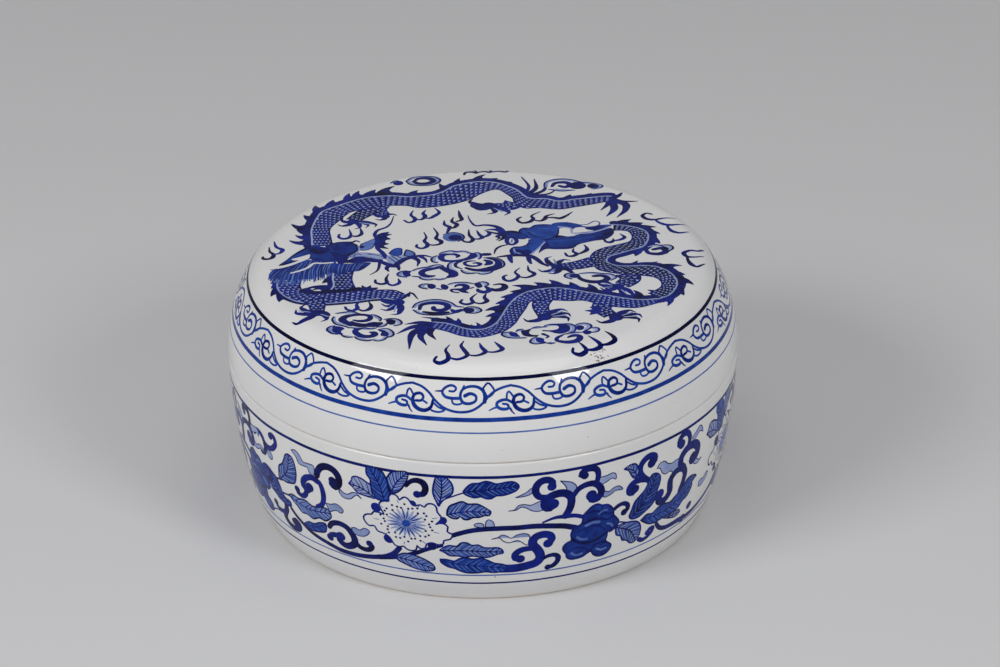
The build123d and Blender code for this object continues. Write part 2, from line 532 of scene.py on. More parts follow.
def band_tree():
    """Geometry Nodes: repeats a flat length of painting and wraps it round a band whose section is an arc.

    The flat painting is in mm, across and up. Turning Radius is the mm across to one radian round the box.
    """
    tree = bpy.data.node_groups.new("wrap_painting_round", "GeometryNodeTree")
    tree.interface.new_socket("Geometry", in_out="OUTPUT", socket_type="NodeSocketGeometry")
    tree.interface.new_socket("Geometry", in_out="INPUT", socket_type="NodeSocketGeometry")
    tree.interface.new_socket("Copies", in_out="INPUT", socket_type="NodeSocketInt")
    for name in ("Pitch", "Turning Radius", "Section Centre Radius", "Section Centre Height",
                 "Section Radius", "Lift", "Wobble"):
        tree.interface.new_socket(name, in_out="INPUT", socket_type="NodeSocketFloat")
    tree.interface.new_socket("Material", in_out="INPUT", socket_type="NodeSocketMaterial")
    given = add(tree, "NodeGroupInput").outputs

    def sum_up(operation, *values):
        return reckon(tree, operation, *values)

    step = add(tree, "ShaderNodeCombineXYZ", {"X": given["Pitch"]}).outputs["Vector"]
    row = add(tree, "GeometryNodeMeshLine", {"Count": given["Copies"], "Offset": step}, mode="OFFSET")
    placed = add(tree, "GeometryNodeInstanceOnPoints",
                 {"Points": row.outputs["Mesh"], "Instance": given["Geometry"]})
    joined = add(tree, "GeometryNodeRealizeInstances", {"Geometry": placed.outputs["Instances"]})
    welded = add(tree, "GeometryNodeMergeByDistance",
                 {"Geometry": joined.outputs["Geometry"], "Distance": 0.0005})
    position = add(tree, "GeometryNodeInputPosition").outputs[0]
    flat = add(tree, "ShaderNodeSeparateXYZ", {"Vector": position}).outputs
    turn = sum_up("DIVIDE", flat["X"], given["Turning Radius"])
    reach = sum_up("ADD", given["Section Radius"], given["Lift"])

    def wrap(up):
        rise = sum_up("DIVIDE", up, given["Section Radius"])
        out = sum_up("MULTIPLY_ADD", sum_up("COSINE", rise), reach, given["Section Centre Radius"])
        height = sum_up("MULTIPLY_ADD", sum_up("SINE", rise), reach, given["Section Centre Height"])
        front = sum_up("MULTIPLY", sum_up("COSINE", turn), sum_up("MULTIPLY", out, -1.0))
        whole = add(tree, "ShaderNodeCombineXYZ", {"X": sum_up("MULTIPLY", sum_up("SINE", turn), out),
                                                   "Y": front, "Z": height}).outputs["Vector"]
        return add(tree, "ShaderNodeVectorMath", {0: whole, "Scale": mm}, operation="SCALE").outputs["Vector"]

    waver = noise(tree, wrap(flat["Y"]), 90.0, 2.0)
    shift = sum_up("MULTIPLY", sum_up("SUBTRACT", waver, 0.5), given["Wobble"])
    round_box = wrap(sum_up("ADD", flat["Y"], shift))
    settled = add(tree, "GeometryNodeSetPosition",
                  {"Geometry": welded.outputs["Geometry"], "Position": round_box})
    coloured = add(tree, "GeometryNodeSetMaterial", {"Geometry": settled.outputs["Geometry"],
                                                     "Material": given["Material"]})
    add(tree, "NodeGroupOutput", {"Geometry": coloured.outputs["Geometry"]})
    return tree


def follow_section(mesh, centre):
    """Shades a film as the glaze under it, from its section's centre (radius, height) in mm."""
    places = np.empty(len(mesh.vertices) * 3)
    mesh.vertices.foreach_get("co", places)
    places = places.reshape(-1, 3) / mm
    radius = np.hypot(places[:, 0], places[:, 1])
    out = ((radius - centre[0]) / np.maximum(radius, 1e-6))[:, None] * places[:, :2]
    facing = np.column_stack([out, places[:, 2] - centre[1]])
    facing /= np.linalg.norm(facing, axis=1)[:, None]
    mesh.normals_split_custom_set_from_vertices(facing.tolist())


wrapping = band_tree()


def band(name, flat, material, copies, pitch, centre, section_radius, wobble=0.0):
    """A film of painting round the box: copies of a flat mesh at a pitch in mm, on the band round an arc."""
    piece = stand(name, flat)
    repeat = piece.modifiers.new("wrap", "NODES")
    repeat.node_group = wrapping
    given = {"Copies": copies, "Pitch": pitch, "Turning Radius": copies * pitch / math.tau,
             "Section Centre Radius": centre[0], "Section Centre Height": centre[1],
             "Section Radius": section_radius, "Lift": film_lift, "Wobble": wobble, "Material": material}
    for socket in wrapping.interface.items_tree:
        if socket.in_out == "INPUT" and socket.name in given:
            repeat[socket.identifier] = given[socket.name]
    evaluated = piece.evaluated_get(bpy.context.evaluated_depsgraph_get())
    mesh = bpy.data.meshes.new_from_object(evaluated)
    piece.modifiers.clear()
    piece.data = mesh
    mesh.name = name
    follow_section(mesh, centre)
    return piece


def ring(name, up, width, pigment, centre, section_radius):
    """A ring that the brush draws while the box turns, centred up mm along the band's section."""
    low, high = up - width / 2, up + width / 2
    corners = [(0, low), (per_degree, low), (per_degree, high), (0, high)]
    flat = flat_mesh(name, corners, [(0, 1, 2, 3)], [0.5])
    return band(name, flat, cobalts[pigment], 360, per_degree, centre, section_radius, wobble=0.25)


# The scroll's places are degrees round the box from its front and mm down the belly from the joint.
# Half the scroll is drawn and comes round twice. Its second quarter repeats the first but for some leaves
# and curls, and leaves out the first vine.
curl_swelling = 1.28
belly = Sheet(per_degree, -1.0, 0.8)
vines = [
    ((1.3, 1.6), [(-50.3, 27.9), (-48.9, 29.6), (-47.1, 31.1), (-45.4, 32.4), (-43.5, 33.3), (-41.3, 33.9),
     (-39.5, 34.3), (-36, 35.1)]),
    ((1.6,), [(-36, 35.1), (-32.5, 35.1), (-28.5, 34.5), (-25, 33.5), (-22.8, 32.5), (-20.8, 30.8),
     (-19.5, 28.8)]),
    ((1.8, 1.0), [(-25, 33.5), (-21, 32.3), (-18, 31), (-15.5, 29.6), (-13.5, 28.3), (-11.5, 27.2),
     (-9.5, 26.2)]),
    ((1.5, 1.8), [(-7.6, 22.8), (-5.1, 21.6), (-2.7, 20.7), (0.3, 20.2), (3.7, 20.1), (7.1, 20.2),
     (10.8, 20.2), (13.2, 20.5), (15.7, 21), (18.1, 21.6), (20.6, 22.8)]),
    ((0.6, 1.4, 1.2), [(13, 19.3), (15.7, 18.3), (18.1, 18.4), (20.6, 18.8), (22.8, 20.1)]),
]
quarter_curls = [
    ((0.8, 1.5, 1.3), [(-16.8, 7.9), (-15.8, 6.4), (-14.4, 5.8), (-13, 6.4), (-12.5, 8.2), (-13.1, 9.8),
     (-14.4, 10.1)]),
    ((1.7, 1.9, 1.9), [(18.1, 18.2), (18.9, 16.4), (19.3, 14.4), (19.1, 12.3), (17.9, 11), (16.2, 10.7),
     (14.4, 11.4), (13.3, 12.9), (13.5, 14.5), (14.4, 14.9), (15.2, 13.8)]),
    ((1.4, 1.7, 1.5), [(13.5, 11.4), (12.1, 11), (11.3, 9.6), (11.3, 7.9), (12.2, 6.4), (13.7, 6),
     (14.9, 6.9), (14.8, 8.3)]),
    ((1.2, 1.6, 1.9), [(19.7, 12.3), (20.8, 10.5), (22.5, 9.6), (24.5, 9.7), (25.9, 11.1), (26.4, 12.9),
     (25.6, 14.6), (24.2, 14.6), (24, 13.3)]),
    ((1.2, 1.5, 1.3), [(25.2, 9.4), (25.5, 7.3), (25, 5.5), (23.5, 4.8), (22, 5.2), (21.4, 6.3),
     (22.3, 6.7)]),
    ((2.3, 2.1, 1.7), [(3.7, 34.1), (7.1, 34.2), (10, 33.6), (11.8, 32.9), (12.7, 31.4), (12.5, 29.6),
     (11.8, 28), (11, 26.7), (10.8, 25.2), (11.5, 23.9), (13.2, 23.3), (14.7, 23.9), (15.2, 25.2),
     (14.4, 26.6)]),
    ((1.3, 1.6, 1.6), [(11.5, 27.9), (10, 27.6), (8.1, 28), (6.9, 29.4), (7, 30.7), (8.1, 31)]),
    ((0.9, 1.3, 1.2), [(13.5, 31.7), (14.7, 31), (16.2, 31), (17, 32), (16.8, 33.6), (15.7, 34.9),
     (14.7, 35.1)]),
    ((1.0, 1.3), [(30, 19.9), (31, 19.1), (32.5, 18.9), (33.6, 19.9), (33.6, 21.1), (32.8, 21.9)]),
    ((0.35,), [(-9.7, 13), (-8.5, 11), (-6.5, 9.8), (-5, 9), (-4, 8.6)]),
    ((0.4,), [(29.8, 24.6), (32, 24.9), (34, 25.9)]),
]
left_curls = [
    ((1.0, 1.5, 1.2), [(-40.5, 22.3), (-38.8, 20.8), (-38.1, 18.5), (-38.1, 16.1), (-38.8, 13.8),
     (-39.8, 13.2)]),
    ((1.5, 1.8, 1.6), [(-39.3, 11.7), (-38.8, 9.9), (-37.6, 8.3), (-35.9, 7.7), (-34.2, 8.3), (-33.2, 9.9),
     (-33.3, 12), (-34.4, 13.3), (-35.2, 12.7), (-34.9, 11.7)]),
    ((1.4, 1.7), [(-39.3, 13.8), (-41, 13.2), (-42.5, 13.8), (-43.7, 15.2), (-44, 17), (-42.7, 17.9),
     (-42, 16.7)]),
    ((1.3,), [(-43.2, 17.9), (-43.5, 19.4), (-44.7, 20.8), (-46.2, 20.5), (-46.4, 19.4)]),
    ((1.2, 1.8, 1.7), [(-37.8, 27.9), (-36.9, 26.4), (-35.4, 25.5), (-33.9, 25.4), (-32.5, 26), (-31.5, 27.4),
     (-30.9, 29.4), (-31.2, 31.1), (-32.5, 32.3), (-33.8, 32.7), (-35, 32), (-35.5, 30.7), (-34.7, 29.8)]),
    ((1.4,), [(-35.2, 29.8), (-36.6, 30.1), (-37.8, 30.8), (-38.2, 31.7)]),
    ((1.3,), [(-30.8, 30.2), (-29.8, 31.6), (-28.3, 32), (-27, 31.4), (-26.4, 30.2), (-27, 29.5)]),
    ((1.3,), [(-62.3, 9.9), (-61.3, 8.8), (-59.9, 8.3), (-58.4, 8.9), (-57.4, 10.5), (-56, 11.1),
     (-54.5, 10.8), (-53.3, 9.6), (-52.6, 8.2), (-53, 6.7), (-54, 6.3), (-54.5, 6.9)]),
    ((1.3,), [(-57.5, 10.8), (-57.4, 12.6), (-58.2, 14.1), (-59.1, 13.9)]),
    ((1.6,), [(-52.3, 27.6), (-52.5, 29.4), (-53.5, 31.1), (-54, 32.9), (-53, 34.6), (-51.1, 35.1),
     (-49.3, 34.4), (-48.6, 32.9), (-49.6, 31.7), (-50.3, 32.6)]),
    ((1.3,), [(-54, 31.1), (-55.5, 31.4), (-56.9, 30.8), (-57.2, 29.6)]),
    ((0.35,), [(-61.1, 34.6), (-59.4, 33.2), (-57.7, 32.3), (-55.5, 32)]),
    ((0.5,), [(-52.5, 23.8), (-50, 23.4), (-48.8, 23)]),
    ((0.5,), [(-54, 19.9), (-52.4, 19.3), (-50.5, 17.6)]),
]
right_curls = [
    ((1.4, 1.8), [(39.1, 14.4), (37.6, 12.9), (36.4, 10.8), (36.4, 8.8), (37.4, 7.3), (38.8, 6.7),
     (40.3, 7.4), (40.4, 8.6), (39.6, 9.1)]),
    ((1.6,), [(38.1, 13.5), (36.6, 13), (34.9, 13.2), (33.7, 14.4), (33.7, 15.8), (34.7, 16.4),
     (35.3, 15.5)]),
    ((1.6, 2.0), [(50.3, 23.2), (51.1, 20.8), (51.4, 18.2), (50.6, 16.4), (49.1, 15.7), (47.4, 16.1),
     (46.2, 17.6), (46.2, 19.6), (46.4, 21.4), (45.4, 23.2), (44, 23.6), (42.9, 22.6), (43, 20.8)]),
    ((1.8, 2.3), [(50.6, 16.1), (49.3, 14.6), (49.3, 12.3), (50.6, 10.8), (52.5, 10.2), (54.5, 10.8),
     (55.7, 12.6), (55.2, 14.6), (54, 14.9)]),
    ((1.3, 1.7), [(51.8, 9.4), (52, 7.3), (51.1, 5.5), (49.6, 5.2), (48.4, 6.1), (48.2, 7.6), (49.1, 8)]),
    ((1.2,), [(38.6, 33.8), (39.6, 34.6), (41, 34.4), (42.5, 32.9), (42.6, 31.7), (41.5, 31.7), (41, 32.6)]),
    ((1.0, 1.6), [(43.5, 30.8), (44.9, 32.9), (46.9, 34.1), (49.3, 34.5), (51.8, 34.6), (54.2, 35)]),
]
quarter_wisps = [
    [(6.9, 10.5), (8.3, 10.4), (10, 9.9), (10.8, 8.9), (10.4, 8), (9.3, 9.1)],
    [(5.4, 14.6), (6.6, 14.4), (7.6, 13), (8.8, 12.9), (10.3, 13.3), (11.5, 12.7), (13, 12.3), (13.2, 14.9),
     (12, 15.5), (10.5, 15.1), (9.3, 14.1), (8.1, 13.6), (7.1, 14.4)],
    [(16.7, 6.9), (17.9, 7.3), (19.3, 7.9), (20.4, 9.4), (20.3, 10.8), (19.6, 11.7), (18.4, 10.5),
     (17.9, 8.8)],
    [(1.7, 23.6), (3, 23.2), (3.9, 22.3), (4.9, 22.7), (6, 23.6), (7.1, 22.7), (8.6, 22.3), (10, 23),
     (9.6, 26.4), (8.6, 25.5), (7.4, 24.5), (5.4, 25.1), (4.2, 24.4), (3.3, 23.2)],
    [(25.3, 8.3), (26.4, 8.3), (27.8, 8.2), (29, 7.9), (29.8, 8.5), (29.9, 10.2), (29, 9.5), (27.6, 10.2),
     (26.1, 10.5)],
    [(26.8, 12.6), (28.3, 13.5), (29.5, 12.7), (30.8, 12.6), (31.9, 14.1), (30, 13.8), (28.8, 14.6),
     (27.1, 14.9)],
    [(-31.2, 25.5), (-30.3, 25.1), (-29, 25.5), (-28.1, 24.6), (-27.3, 24.4), (-26.5, 25.1), (-27.1, 26.4),
     (-28.1, 27.3), (-29.8, 27.6), (-31, 27)],
    [(-1.9, 19.4), (-2.2, 18.8), (-1.2, 18.2), (-0.1, 18.6), (-0.2, 19.6)],
    [(0.3, 19.4), (0.5, 17.6), (1, 17.1), (2, 17.9), (2.2, 19.4), (1.2, 19.6)],
]
left_wisps = [
    [(-33, 13.6), (-32, 14.4), (-31, 14.4), (-30, 13.5), (-28.8, 13.3), (-27.6, 14.8), (-28.7, 13.9),
     (-29.5, 14.6), (-30.5, 15.7), (-31.5, 16), (-32.5, 15.8), (-33.4, 14.4)],
    [(-37.6, 19.9), (-36.1, 19.6), (-34.7, 18.9), (-33.4, 19.5), (-32.8, 20.5), (-33.6, 21.6), (-34.7, 21.1),
     (-35.9, 21.7), (-36.7, 22.3)],
    [(-46.9, 7.3), (-45.7, 6.7), (-44.5, 7.3), (-43.2, 9.2), (-41.8, 9.1), (-40.1, 9.1), (-39.9, 10.5),
     (-40.3, 12.3), (-41.5, 12), (-42, 10.5), (-43.5, 10.5), (-44.7, 10.4), (-45.4, 8.8)],
    [(-56.7, 12.1), (-55.2, 12.1), (-54.5, 13.5), (-55, 14.6), (-56.3, 14.3)],
]
right_wisps = [
    [(53, 7.9), (54.7, 6.7), (55.9, 5.8), (56.9, 6.7), (57.4, 8.5), (56.2, 7.6), (54.7, 8.5), (53.5, 9.4)],
    [(41.3, 11.7), (42, 10.5), (43.5, 10.4), (44.7, 11.7), (46.2, 12.3), (47.6, 12), (49.1, 12.6),
     (48.9, 14.9), (47.1, 15.8), (45.7, 14.6), (44.2, 14.8), (43, 13.8), (42.2, 12)],
    [(54.2, 15.5), (55.5, 15.9), (56.9, 17), (58, 16.7), (56.5, 17.8), (54.6, 17)],
]
# Each leaf has its fill, its outline, its midrib and how many pairs of veins the brush gave it.
quarter_leaves = [
    ("blue", [(-25.9, 3.9), (-22.4, 4.5), (-21.5, 6.1), (-21, 7.9), (-21, 9.6), (-20.5, 10.8), (-21, 13.2),
      (-22.4, 13.8), (-23.9, 13.5), (-24.9, 11.7), (-25.1, 9.6), (-25.1, 7.9), (-25.9, 6.4)],
     [(-22, 13.6), (-23, 9), (-25, 4.6)], 5),
    ("blue", [(-4.3, 8.2), (-3.4, 6.7), (-2.4, 5.8), (-1, 5.7), (0.5, 5.1), (1.7, 5.5), (2.7, 6), (4.4, 5.7),
      (6.1, 5.5), (7.1, 6.1), (7.6, 7.1), (7.1, 8.2), (5.6, 9.1), (3.9, 9.6), (2.7, 9.6), (1.7, 10.4),
      (0.5, 10.4), (-0.5, 9.8), (-1.9, 10.1), (-3.2, 9.6), (-4.1, 8.9)],
     [(-4.2, 8.5), (0, 7.8), (3.5, 7.4), (7.2, 7)], 7),
    ("blue", [(-10, 31), (-8.5, 31), (-6.8, 31.4), (-5.6, 30.4), (-4.1, 30.1), (-2.7, 30.5), (-0.7, 30.2),
      (0.8, 31), (2.2, 32), (3.7, 32.4), (5.2, 33.3), (4.7, 34.8), (2.2, 35.4), (0.3, 35.1), (-1.9, 35.5),
      (-4.1, 35.5), (-5.6, 34.9), (-6.8, 34.1), (-8.5, 33.5), (-10, 32)],
     [(-9.9, 31.5), (-5, 32.6), (0, 33.1), (4.9, 34)], 8),
    ("wash", [(-20.5, 31.8), (-18.5, 30.4), (-16, 30.6), (-13.5, 31.8), (-11.8, 33.4), (-11.6, 35),
      (-13.4, 35.8), (-16, 35.4), (-18.6, 34.2), (-20.4, 33)],
     [(-20.3, 32.2), (-16, 33), (-11.9, 34.8)], 6),
    ("tint", [(-30.5, 10.8), (-29.8, 9.6), (-29.5, 8.5), (-28.6, 8), (-27.1, 8.3), (-25.9, 9.1), (-25.1, 9.6),
      (-24.9, 11.7), (-24.2, 13.5), (-25.4, 13.5), (-27.1, 13.3), (-28.6, 12.9), (-29.5, 11.7)],
     [(-24.3, 13.4), (-27, 11.4), (-30.3, 10.7)], 5),
    ("wash", [(-21.2, 6.4), (-20, 4.4), (-18.5, 3.8), (-16.4, 3.8), (-16.6, 6.1), (-17.3, 7.9), (-18.5, 9.9),
      (-20, 10.8), (-20.7, 9.1), (-21.1, 7.3)],
     [(-20.3, 10.6), (-19, 7.4), (-16.5, 3.9)], 6),
    ("wash", [(-10.2, 4.4), (-8.3, 4.2), (-7, 5.5), (-6.5, 7.6), (-6.8, 9.1), (-8, 10.5), (-9.2, 11.7),
      (-9.7, 13.2), (-10.2, 11.7), (-10.7, 10.2), (-10.9, 8.5), (-10.6, 6.1)],
     [(-9.7, 13.1), (-9, 9), (-9, 4.4)], 8),
    ("wash", [(-8, 15.8), (-7.9, 14.4), (-7.3, 12.9), (-6.1, 12.1), (-4.6, 11.4), (-3.4, 12.1), (-1.4, 12.1),
      (-0.2, 12.9), (0.8, 13.8), (1.5, 14.6), (1.1, 15.8), (0.3, 15.7), (-1, 16.3), (-2.4, 16.4),
      (-3.4, 17.1), (-4.4, 17), (-5.1, 16.1), (-5.8, 16.9), (-7.1, 16.7)],
     [(-8, 15.7), (-4, 14.6), (1.3, 14.7)], 7),
    ("wash", [(-10, 27.9), (-9, 26.7), (-7.8, 26), (-6.1, 26.1), (-5.1, 24.9), (-3.9, 24.8), (-2.7, 25.7),
      (-1.4, 25.5), (-0.2, 26.4), (1.2, 26.6), (3, 26.6), (3.9, 27.3), (4.2, 28.5), (3, 28.8), (1.7, 29.5),
      (0.3, 29.9), (-1.4, 29.6), (-2.9, 29.4), (-4.4, 29.9), (-5.8, 29.5), (-7.8, 29.5), (-9, 28.5)],
     [(-10, 27.9), (-4, 27.6), (4, 28.1)], 10),
]
left_leaves = [
    ("blue", [(-60.1, 18.8), (-58.9, 17.9), (-57.2, 18), (-55.7, 18.9), (-54.2, 19.9), (-53.3, 21.7),
      (-52.8, 23.8), (-51.8, 25.2), (-50.1, 25.5), (-50.1, 27), (-51.8, 27.6), (-53.5, 27.3), (-55.2, 26.7),
      (-56.4, 25.2), (-57.7, 24.1), (-59.1, 23.2), (-59.9, 21.1)],
     [(-50.2, 26.4), (-54.6, 24), (-59.8, 19.4)], 6),
    ("blue", [(-46.2, 30.8), (-44.5, 29.4), (-42.5, 29.1), (-40.8, 27.9), (-38.8, 27.4), (-39.3, 30.2),
      (-41.5, 31.4), (-44.2, 32)],
     [(-46, 30.9), (-42.4, 30.2), (-39, 27.8)], 4),
    ("wash", [(-50.1, 23.2), (-48.6, 22.3), (-46.7, 22.6), (-44.2, 22), (-42, 22.9), (-39.6, 22.1),
      (-37.8, 21.7), (-36.9, 22.3), (-36.6, 23.8), (-37.4, 25.2), (-38.8, 26.3), (-40.5, 26.1), (-42.7, 27.4),
      (-44.5, 26.7), (-46.2, 27), (-47.6, 25.5), (-48.9, 24.4)],
     [(-50, 23.3), (-44, 24.6), (-36.8, 23)], 8),
    ("wash", [(-48.1, 9.2), (-46.9, 9.6), (-46.3, 11.1), (-46, 13.8), (-46.3, 15.8), (-47.1, 17.9),
      (-48.6, 18.6), (-50.1, 19.1), (-51.5, 19.1), (-52.8, 19.6), (-52.7, 17.3), (-52.2, 14.9), (-50.8, 13.5),
      (-49.8, 11.4), (-49.1, 9.8)],
     [(-52.7, 19.5), (-49.2, 15), (-48, 9.4)], 7),
]
right_leaves = [
    ("wash", [(32, 7.9), (33.2, 7.3), (34.7, 7.3), (35.6, 8.5), (35.9, 10.8), (35.6, 11.9), (34.7, 11.7),
      (33.8, 10.2), (33.2, 8.8)],
     [(35.6, 11.8), (34.6, 9.4), (32.2, 7.9)], 4),
    ("blue", [(39.1, 14.1), (40, 12.9), (41.5, 13.3), (42.6, 14.9), (42.5, 17.3), (42, 19.1), (41.8, 21.4),
      (40.8, 23.2), (39.1, 24.4), (37.1, 25.5), (35.2, 25.2), (34.4, 24.1), (34.9, 22), (35.6, 19.6),
      (36.6, 18.5), (38.1, 17), (38.8, 15.5)],
     [(35, 25), (38.6, 20.4), (41.3, 13.5)], 7),
    ("wash", [(31, 26.1), (33, 25.8), (35.2, 26.1), (37.1, 27), (38.1, 28.5), (38.5, 30.2), (38.3, 32.6),
      (37.1, 34.1), (35.9, 33.8), (34.7, 32.3), (33.4, 31.7), (32.7, 29.9), (31.5, 29.1), (31.1, 27.6)],
     [(31.2, 26.4), (35.2, 29.2), (37.6, 33.8)], 7),
    ("blue", [(38.1, 27), (39.6, 25.8), (41.5, 26.3), (43, 25.2), (45.2, 24.9), (47.1, 25.5), (48.9, 24.4),
      (50.6, 23.5), (52, 21.7), (53.5, 20.8), (55.2, 21.1), (56.9, 22.3), (55, 22.9), (55.5, 24.6),
      (54.2, 27.3), (52.5, 27.9), (51.1, 29.4), (48.9, 29.9), (45.7, 29.9), (43, 30.2), (41, 29.6),
      (39.6, 28.5)],
     [(38.2, 27.1), (45, 27.6), (51, 26.2), (56.6, 22.4)], 11),
    ("wash", [(45.9, 30.2), (48.1, 31.4), (50.6, 32.3), (52.3, 31.7), (51.5, 30.5), (49.8, 30.2)],
     [(46, 30.3), (49.2, 31), (52, 31.5)], 4),
]
white_flower = [
    (-21, 12.4), (-20.5, 11.3), (-19.7, 11.1), (-18.9, 11.6), (-18.5, 12.6), (-17.7, 11.7), (-17, 11.5),
    (-16.3, 12.2), (-15.6, 13.6), (-14.9, 13.8), (-13.8, 13.3), (-12.9, 13.9), (-12.4, 13), (-11.5, 12.6),
    (-10.6, 13), (-10.2, 14), (-10.1, 15.2), (-9.4, 16.4), (-9.4, 17.5), (-10, 18.5), (-10.6, 19.3),
    (-10, 18.8), (-8.7, 18.8), (-7.9, 19.8), (-8.1, 21.3), (-7, 22.3), (-7.5, 23.8), (-9, 24.5), (-9.1, 25.5),
    (-10.2, 26), (-11.7, 25.5), (-12.9, 26.1), (-13.4, 27.6), (-14.6, 27.9), (-15.2, 27), (-15.5, 28.5),
    (-16.8, 29.1), (-17.9, 28.6), (-18.4, 27.9), (-19.3, 28.3), (-20.5, 28), (-21, 27), (-21.6, 25.6),
    (-22.9, 24.6), (-24.4, 24.2), (-25.1, 22.7), (-26.4, 23), (-27.3, 22), (-27.6, 20.5), (-26.8, 19.4),
    (-25.4, 18.9), (-24.9, 18), (-23.4, 17.9), (-22.4, 18.2), (-23.3, 15.8), (-23.2, 14.6), (-22.2, 13.8),
    (-21, 13.6)]
peony = [
    (22.4, 19.1), (23.4, 17.9), (24.4, 16.9), (25.6, 16.6), (26.8, 17.4), (28.1, 17.6), (29, 18.5),
    (29.8, 19.9), (30, 21.7), (31, 23.2), (31.6, 24.6), (31, 26.1), (29.5, 27.1), (28.9, 26.6), (28.8, 28.5),
    (28.6, 29.9), (30.3, 32), (30, 33.8), (28.6, 34.9), (27.1, 34.8), (25.9, 33.8), (25.1, 32.4),
    (24.4, 32.6), (23.2, 33.5), (21.5, 33.8), (20.1, 33.6), (19.1, 32.6), (18.9, 31.4), (18.1, 29.9),
    (18.1, 28.5), (19.1, 27.4), (20, 27), (19.7, 24.9), (20.3, 22.9), (22, 22), (22.3, 20.5)]
peony_petals = [
    ("ink", 0.9, [(20, 26.6), (21.8, 28.3), (24, 28.9), (26.4, 28.5), (28.6, 27)]),
    ("ink", 0.7, [(22.2, 22.2), (24.2, 21.4), (26.6, 21.6), (28.6, 22.6), (29.9, 22)]),
    ("ink", 0.5, [(21.4, 24.6), (23.2, 23.6), (25.4, 23.6), (27.2, 24.6), (28, 26)]),
    ("ink", 0.6, [(18.9, 31.2), (20.4, 30), (22, 30), (23.6, 31), (24.8, 32.4)]),
    ("ink", 0.6, [(24.9, 32.4), (25.7, 30.6), (27.2, 30), (28.7, 30.2)]),
    ("ink", 0.5, [(23.2, 19), (24.8, 18.6), (26.2, 19.2), (27, 20.6)]),
    ("ink", 0.4, [(26.8, 17.6), (26.9, 19), (28, 20.4), (29.6, 20.8)]),
    ("wash", 0.9, [(23.2, 22.9), (24.8, 22.4), (26.4, 22.7)]),
    ("wash", 0.8, [(21.2, 26.3), (22.2, 27.2), (23.6, 27.6)]),
    ("wash", 0.7, [(26.2, 20), (27.2, 19.2), (28.2, 19.4)]),
    ("wash", 0.7, [(28.6, 24), (29.6, 24.6), (30, 25.4)]),
    ("wash", 0.8, [(20.2, 31.6), (21.4, 32.6), (22.8, 32.4)]),
    ("wash", 0.6, [(26.6, 32), (27.8, 32.8), (29, 32.6)]),
]


def belly_quarter(turn, curls, wisps, leaves):
    """A quarter of the scroll, turned by so many degrees: wisps, curls and vines, leaves, then flowers."""
    def moved(points):
        return [(x + turn, y) for x, y in points]

    for points in [moved(p) for p in quarter_wisps] + wisps:
        belly.edged("tint", points, 0.3)
    for widths, points in [(w, moved(p)) for w, p in quarter_curls] + curls:
        belly.line("ink", [curl_swelling * width for width in widths], points)
        belly.dab("ink", *points[-1], 0.85 * widths[-1])
    for widths, points in vines[1:] if turn else vines:
        belly.line("ink", widths, moved(points))
    for pigment, points, rib, count in [(c, moved(p), moved(r), n) for c, p, r, n in quarter_leaves] + leaves:
        belly.edged(pigment, points, 0.52)
        belly.veins(points, rib, count + 3, "wash" if pigment == "blue" else "tint", (0.24, 0.14))
        belly.veins(points, rib, count)
    for x, y, radius in ((-15.6, 13.3, 1.1), (-9, 17.7, 1.2), (-11.7, 26.7, 1.3), (-21.9, 26.2, 1.5),
                         (-24.2, 16.4, 1.5)):
        belly.dab("ink", x + turn, y, radius)
    belly.edged(None, moved(white_flower), 0.52)
    x, y = -17.3 + turn, 19.9
    belly.dab("tint", x, y, 3.0, 2.6)
    for ray in range(22):
        way = math.tau * ray / 22
        dx, dy = math.cos(way) / per_degree, math.sin(way)
        reach = (2.8, 5.2, 4.3)[ray % 3]
        belly.line("tint", (1.0, 0.8, 0.3), [(x + 1.5 * dx, y + 1.3 * dy), (x + 3.6 * dx, y + 3.1 * dy),
                                             (x + 5.4 * dx, y + 4.6 * dy)])
        belly.line("blue", (0.7, 0.45, 0.2), [(x, y), (x + 0.5 * reach * dx, y + 0.45 * reach * dy),
                                              (x + reach * dx, y + 0.88 * reach * dy)])
    for dot in range(38):
        way = math.tau * (dot + 0.4) / 38
        reach = 6.6 + 0.9 * math.sin(dot * 2.3)
        belly.dab("ink", x + reach * math.cos(way) / per_degree, y + 0.82 * reach * math.sin(way), 0.36)
    for lobe in range(9):
        way = math.tau * lobe / 9 + 0.3
        dx, dy = math.cos(way) / per_degree, math.sin(way)
        belly.line("wash", (0.25, 0.15), [(x + 7.9 * dx, y + 6.5 * dy), (x + 9.4 * dx, y + 7.4 * dy)])
    belly.edged("blue", moved(peony), 0.6)
    for pigment, width, points in peony_petals:
        belly.line(pigment, width, moved(points))


belly_quarter(0, left_curls, left_wisps, left_leaves)
belly_quarter(90, right_curls, right_wisps, right_leaves)
belly.dab("ink", 56.2, 31.7, 1.3)
belly_low, belly_high = -56 * per_degree, 124 * per_degree
grid = [(x, y) for x in np.arange(belly_low + 1, belly_high, 2.0) for y in np.arange(-38, -4, 2.0)]
for pigment, (places, triangles, loads) in belly.films(grid, belly_low, belly_high).items():
    flat = flat_mesh("belly_" + pigment, places, triangles, loads)
    piece = band("belly_" + pigment, flat, cobalts[pigment], 2, belly_high - belly_low, belly_centre,
                 belly_section_radius)
    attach(piece, "base")

# Rings on the lower half
# Three lines ruled with a full brush while the box turned on the banding wheel.
for name, down, width, pigment in (
        ("belly_top_ring", 4.0, 0.9, "ink"),
        ("belly_low_ring", 36.4, 0.45, "wash"),
        ("foot_ring_line", 39.35, 0.55, "ink")):
    piece = ring(name, -down, width, pigment, belly_centre, belly_section_radius)
    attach(piece, "base")

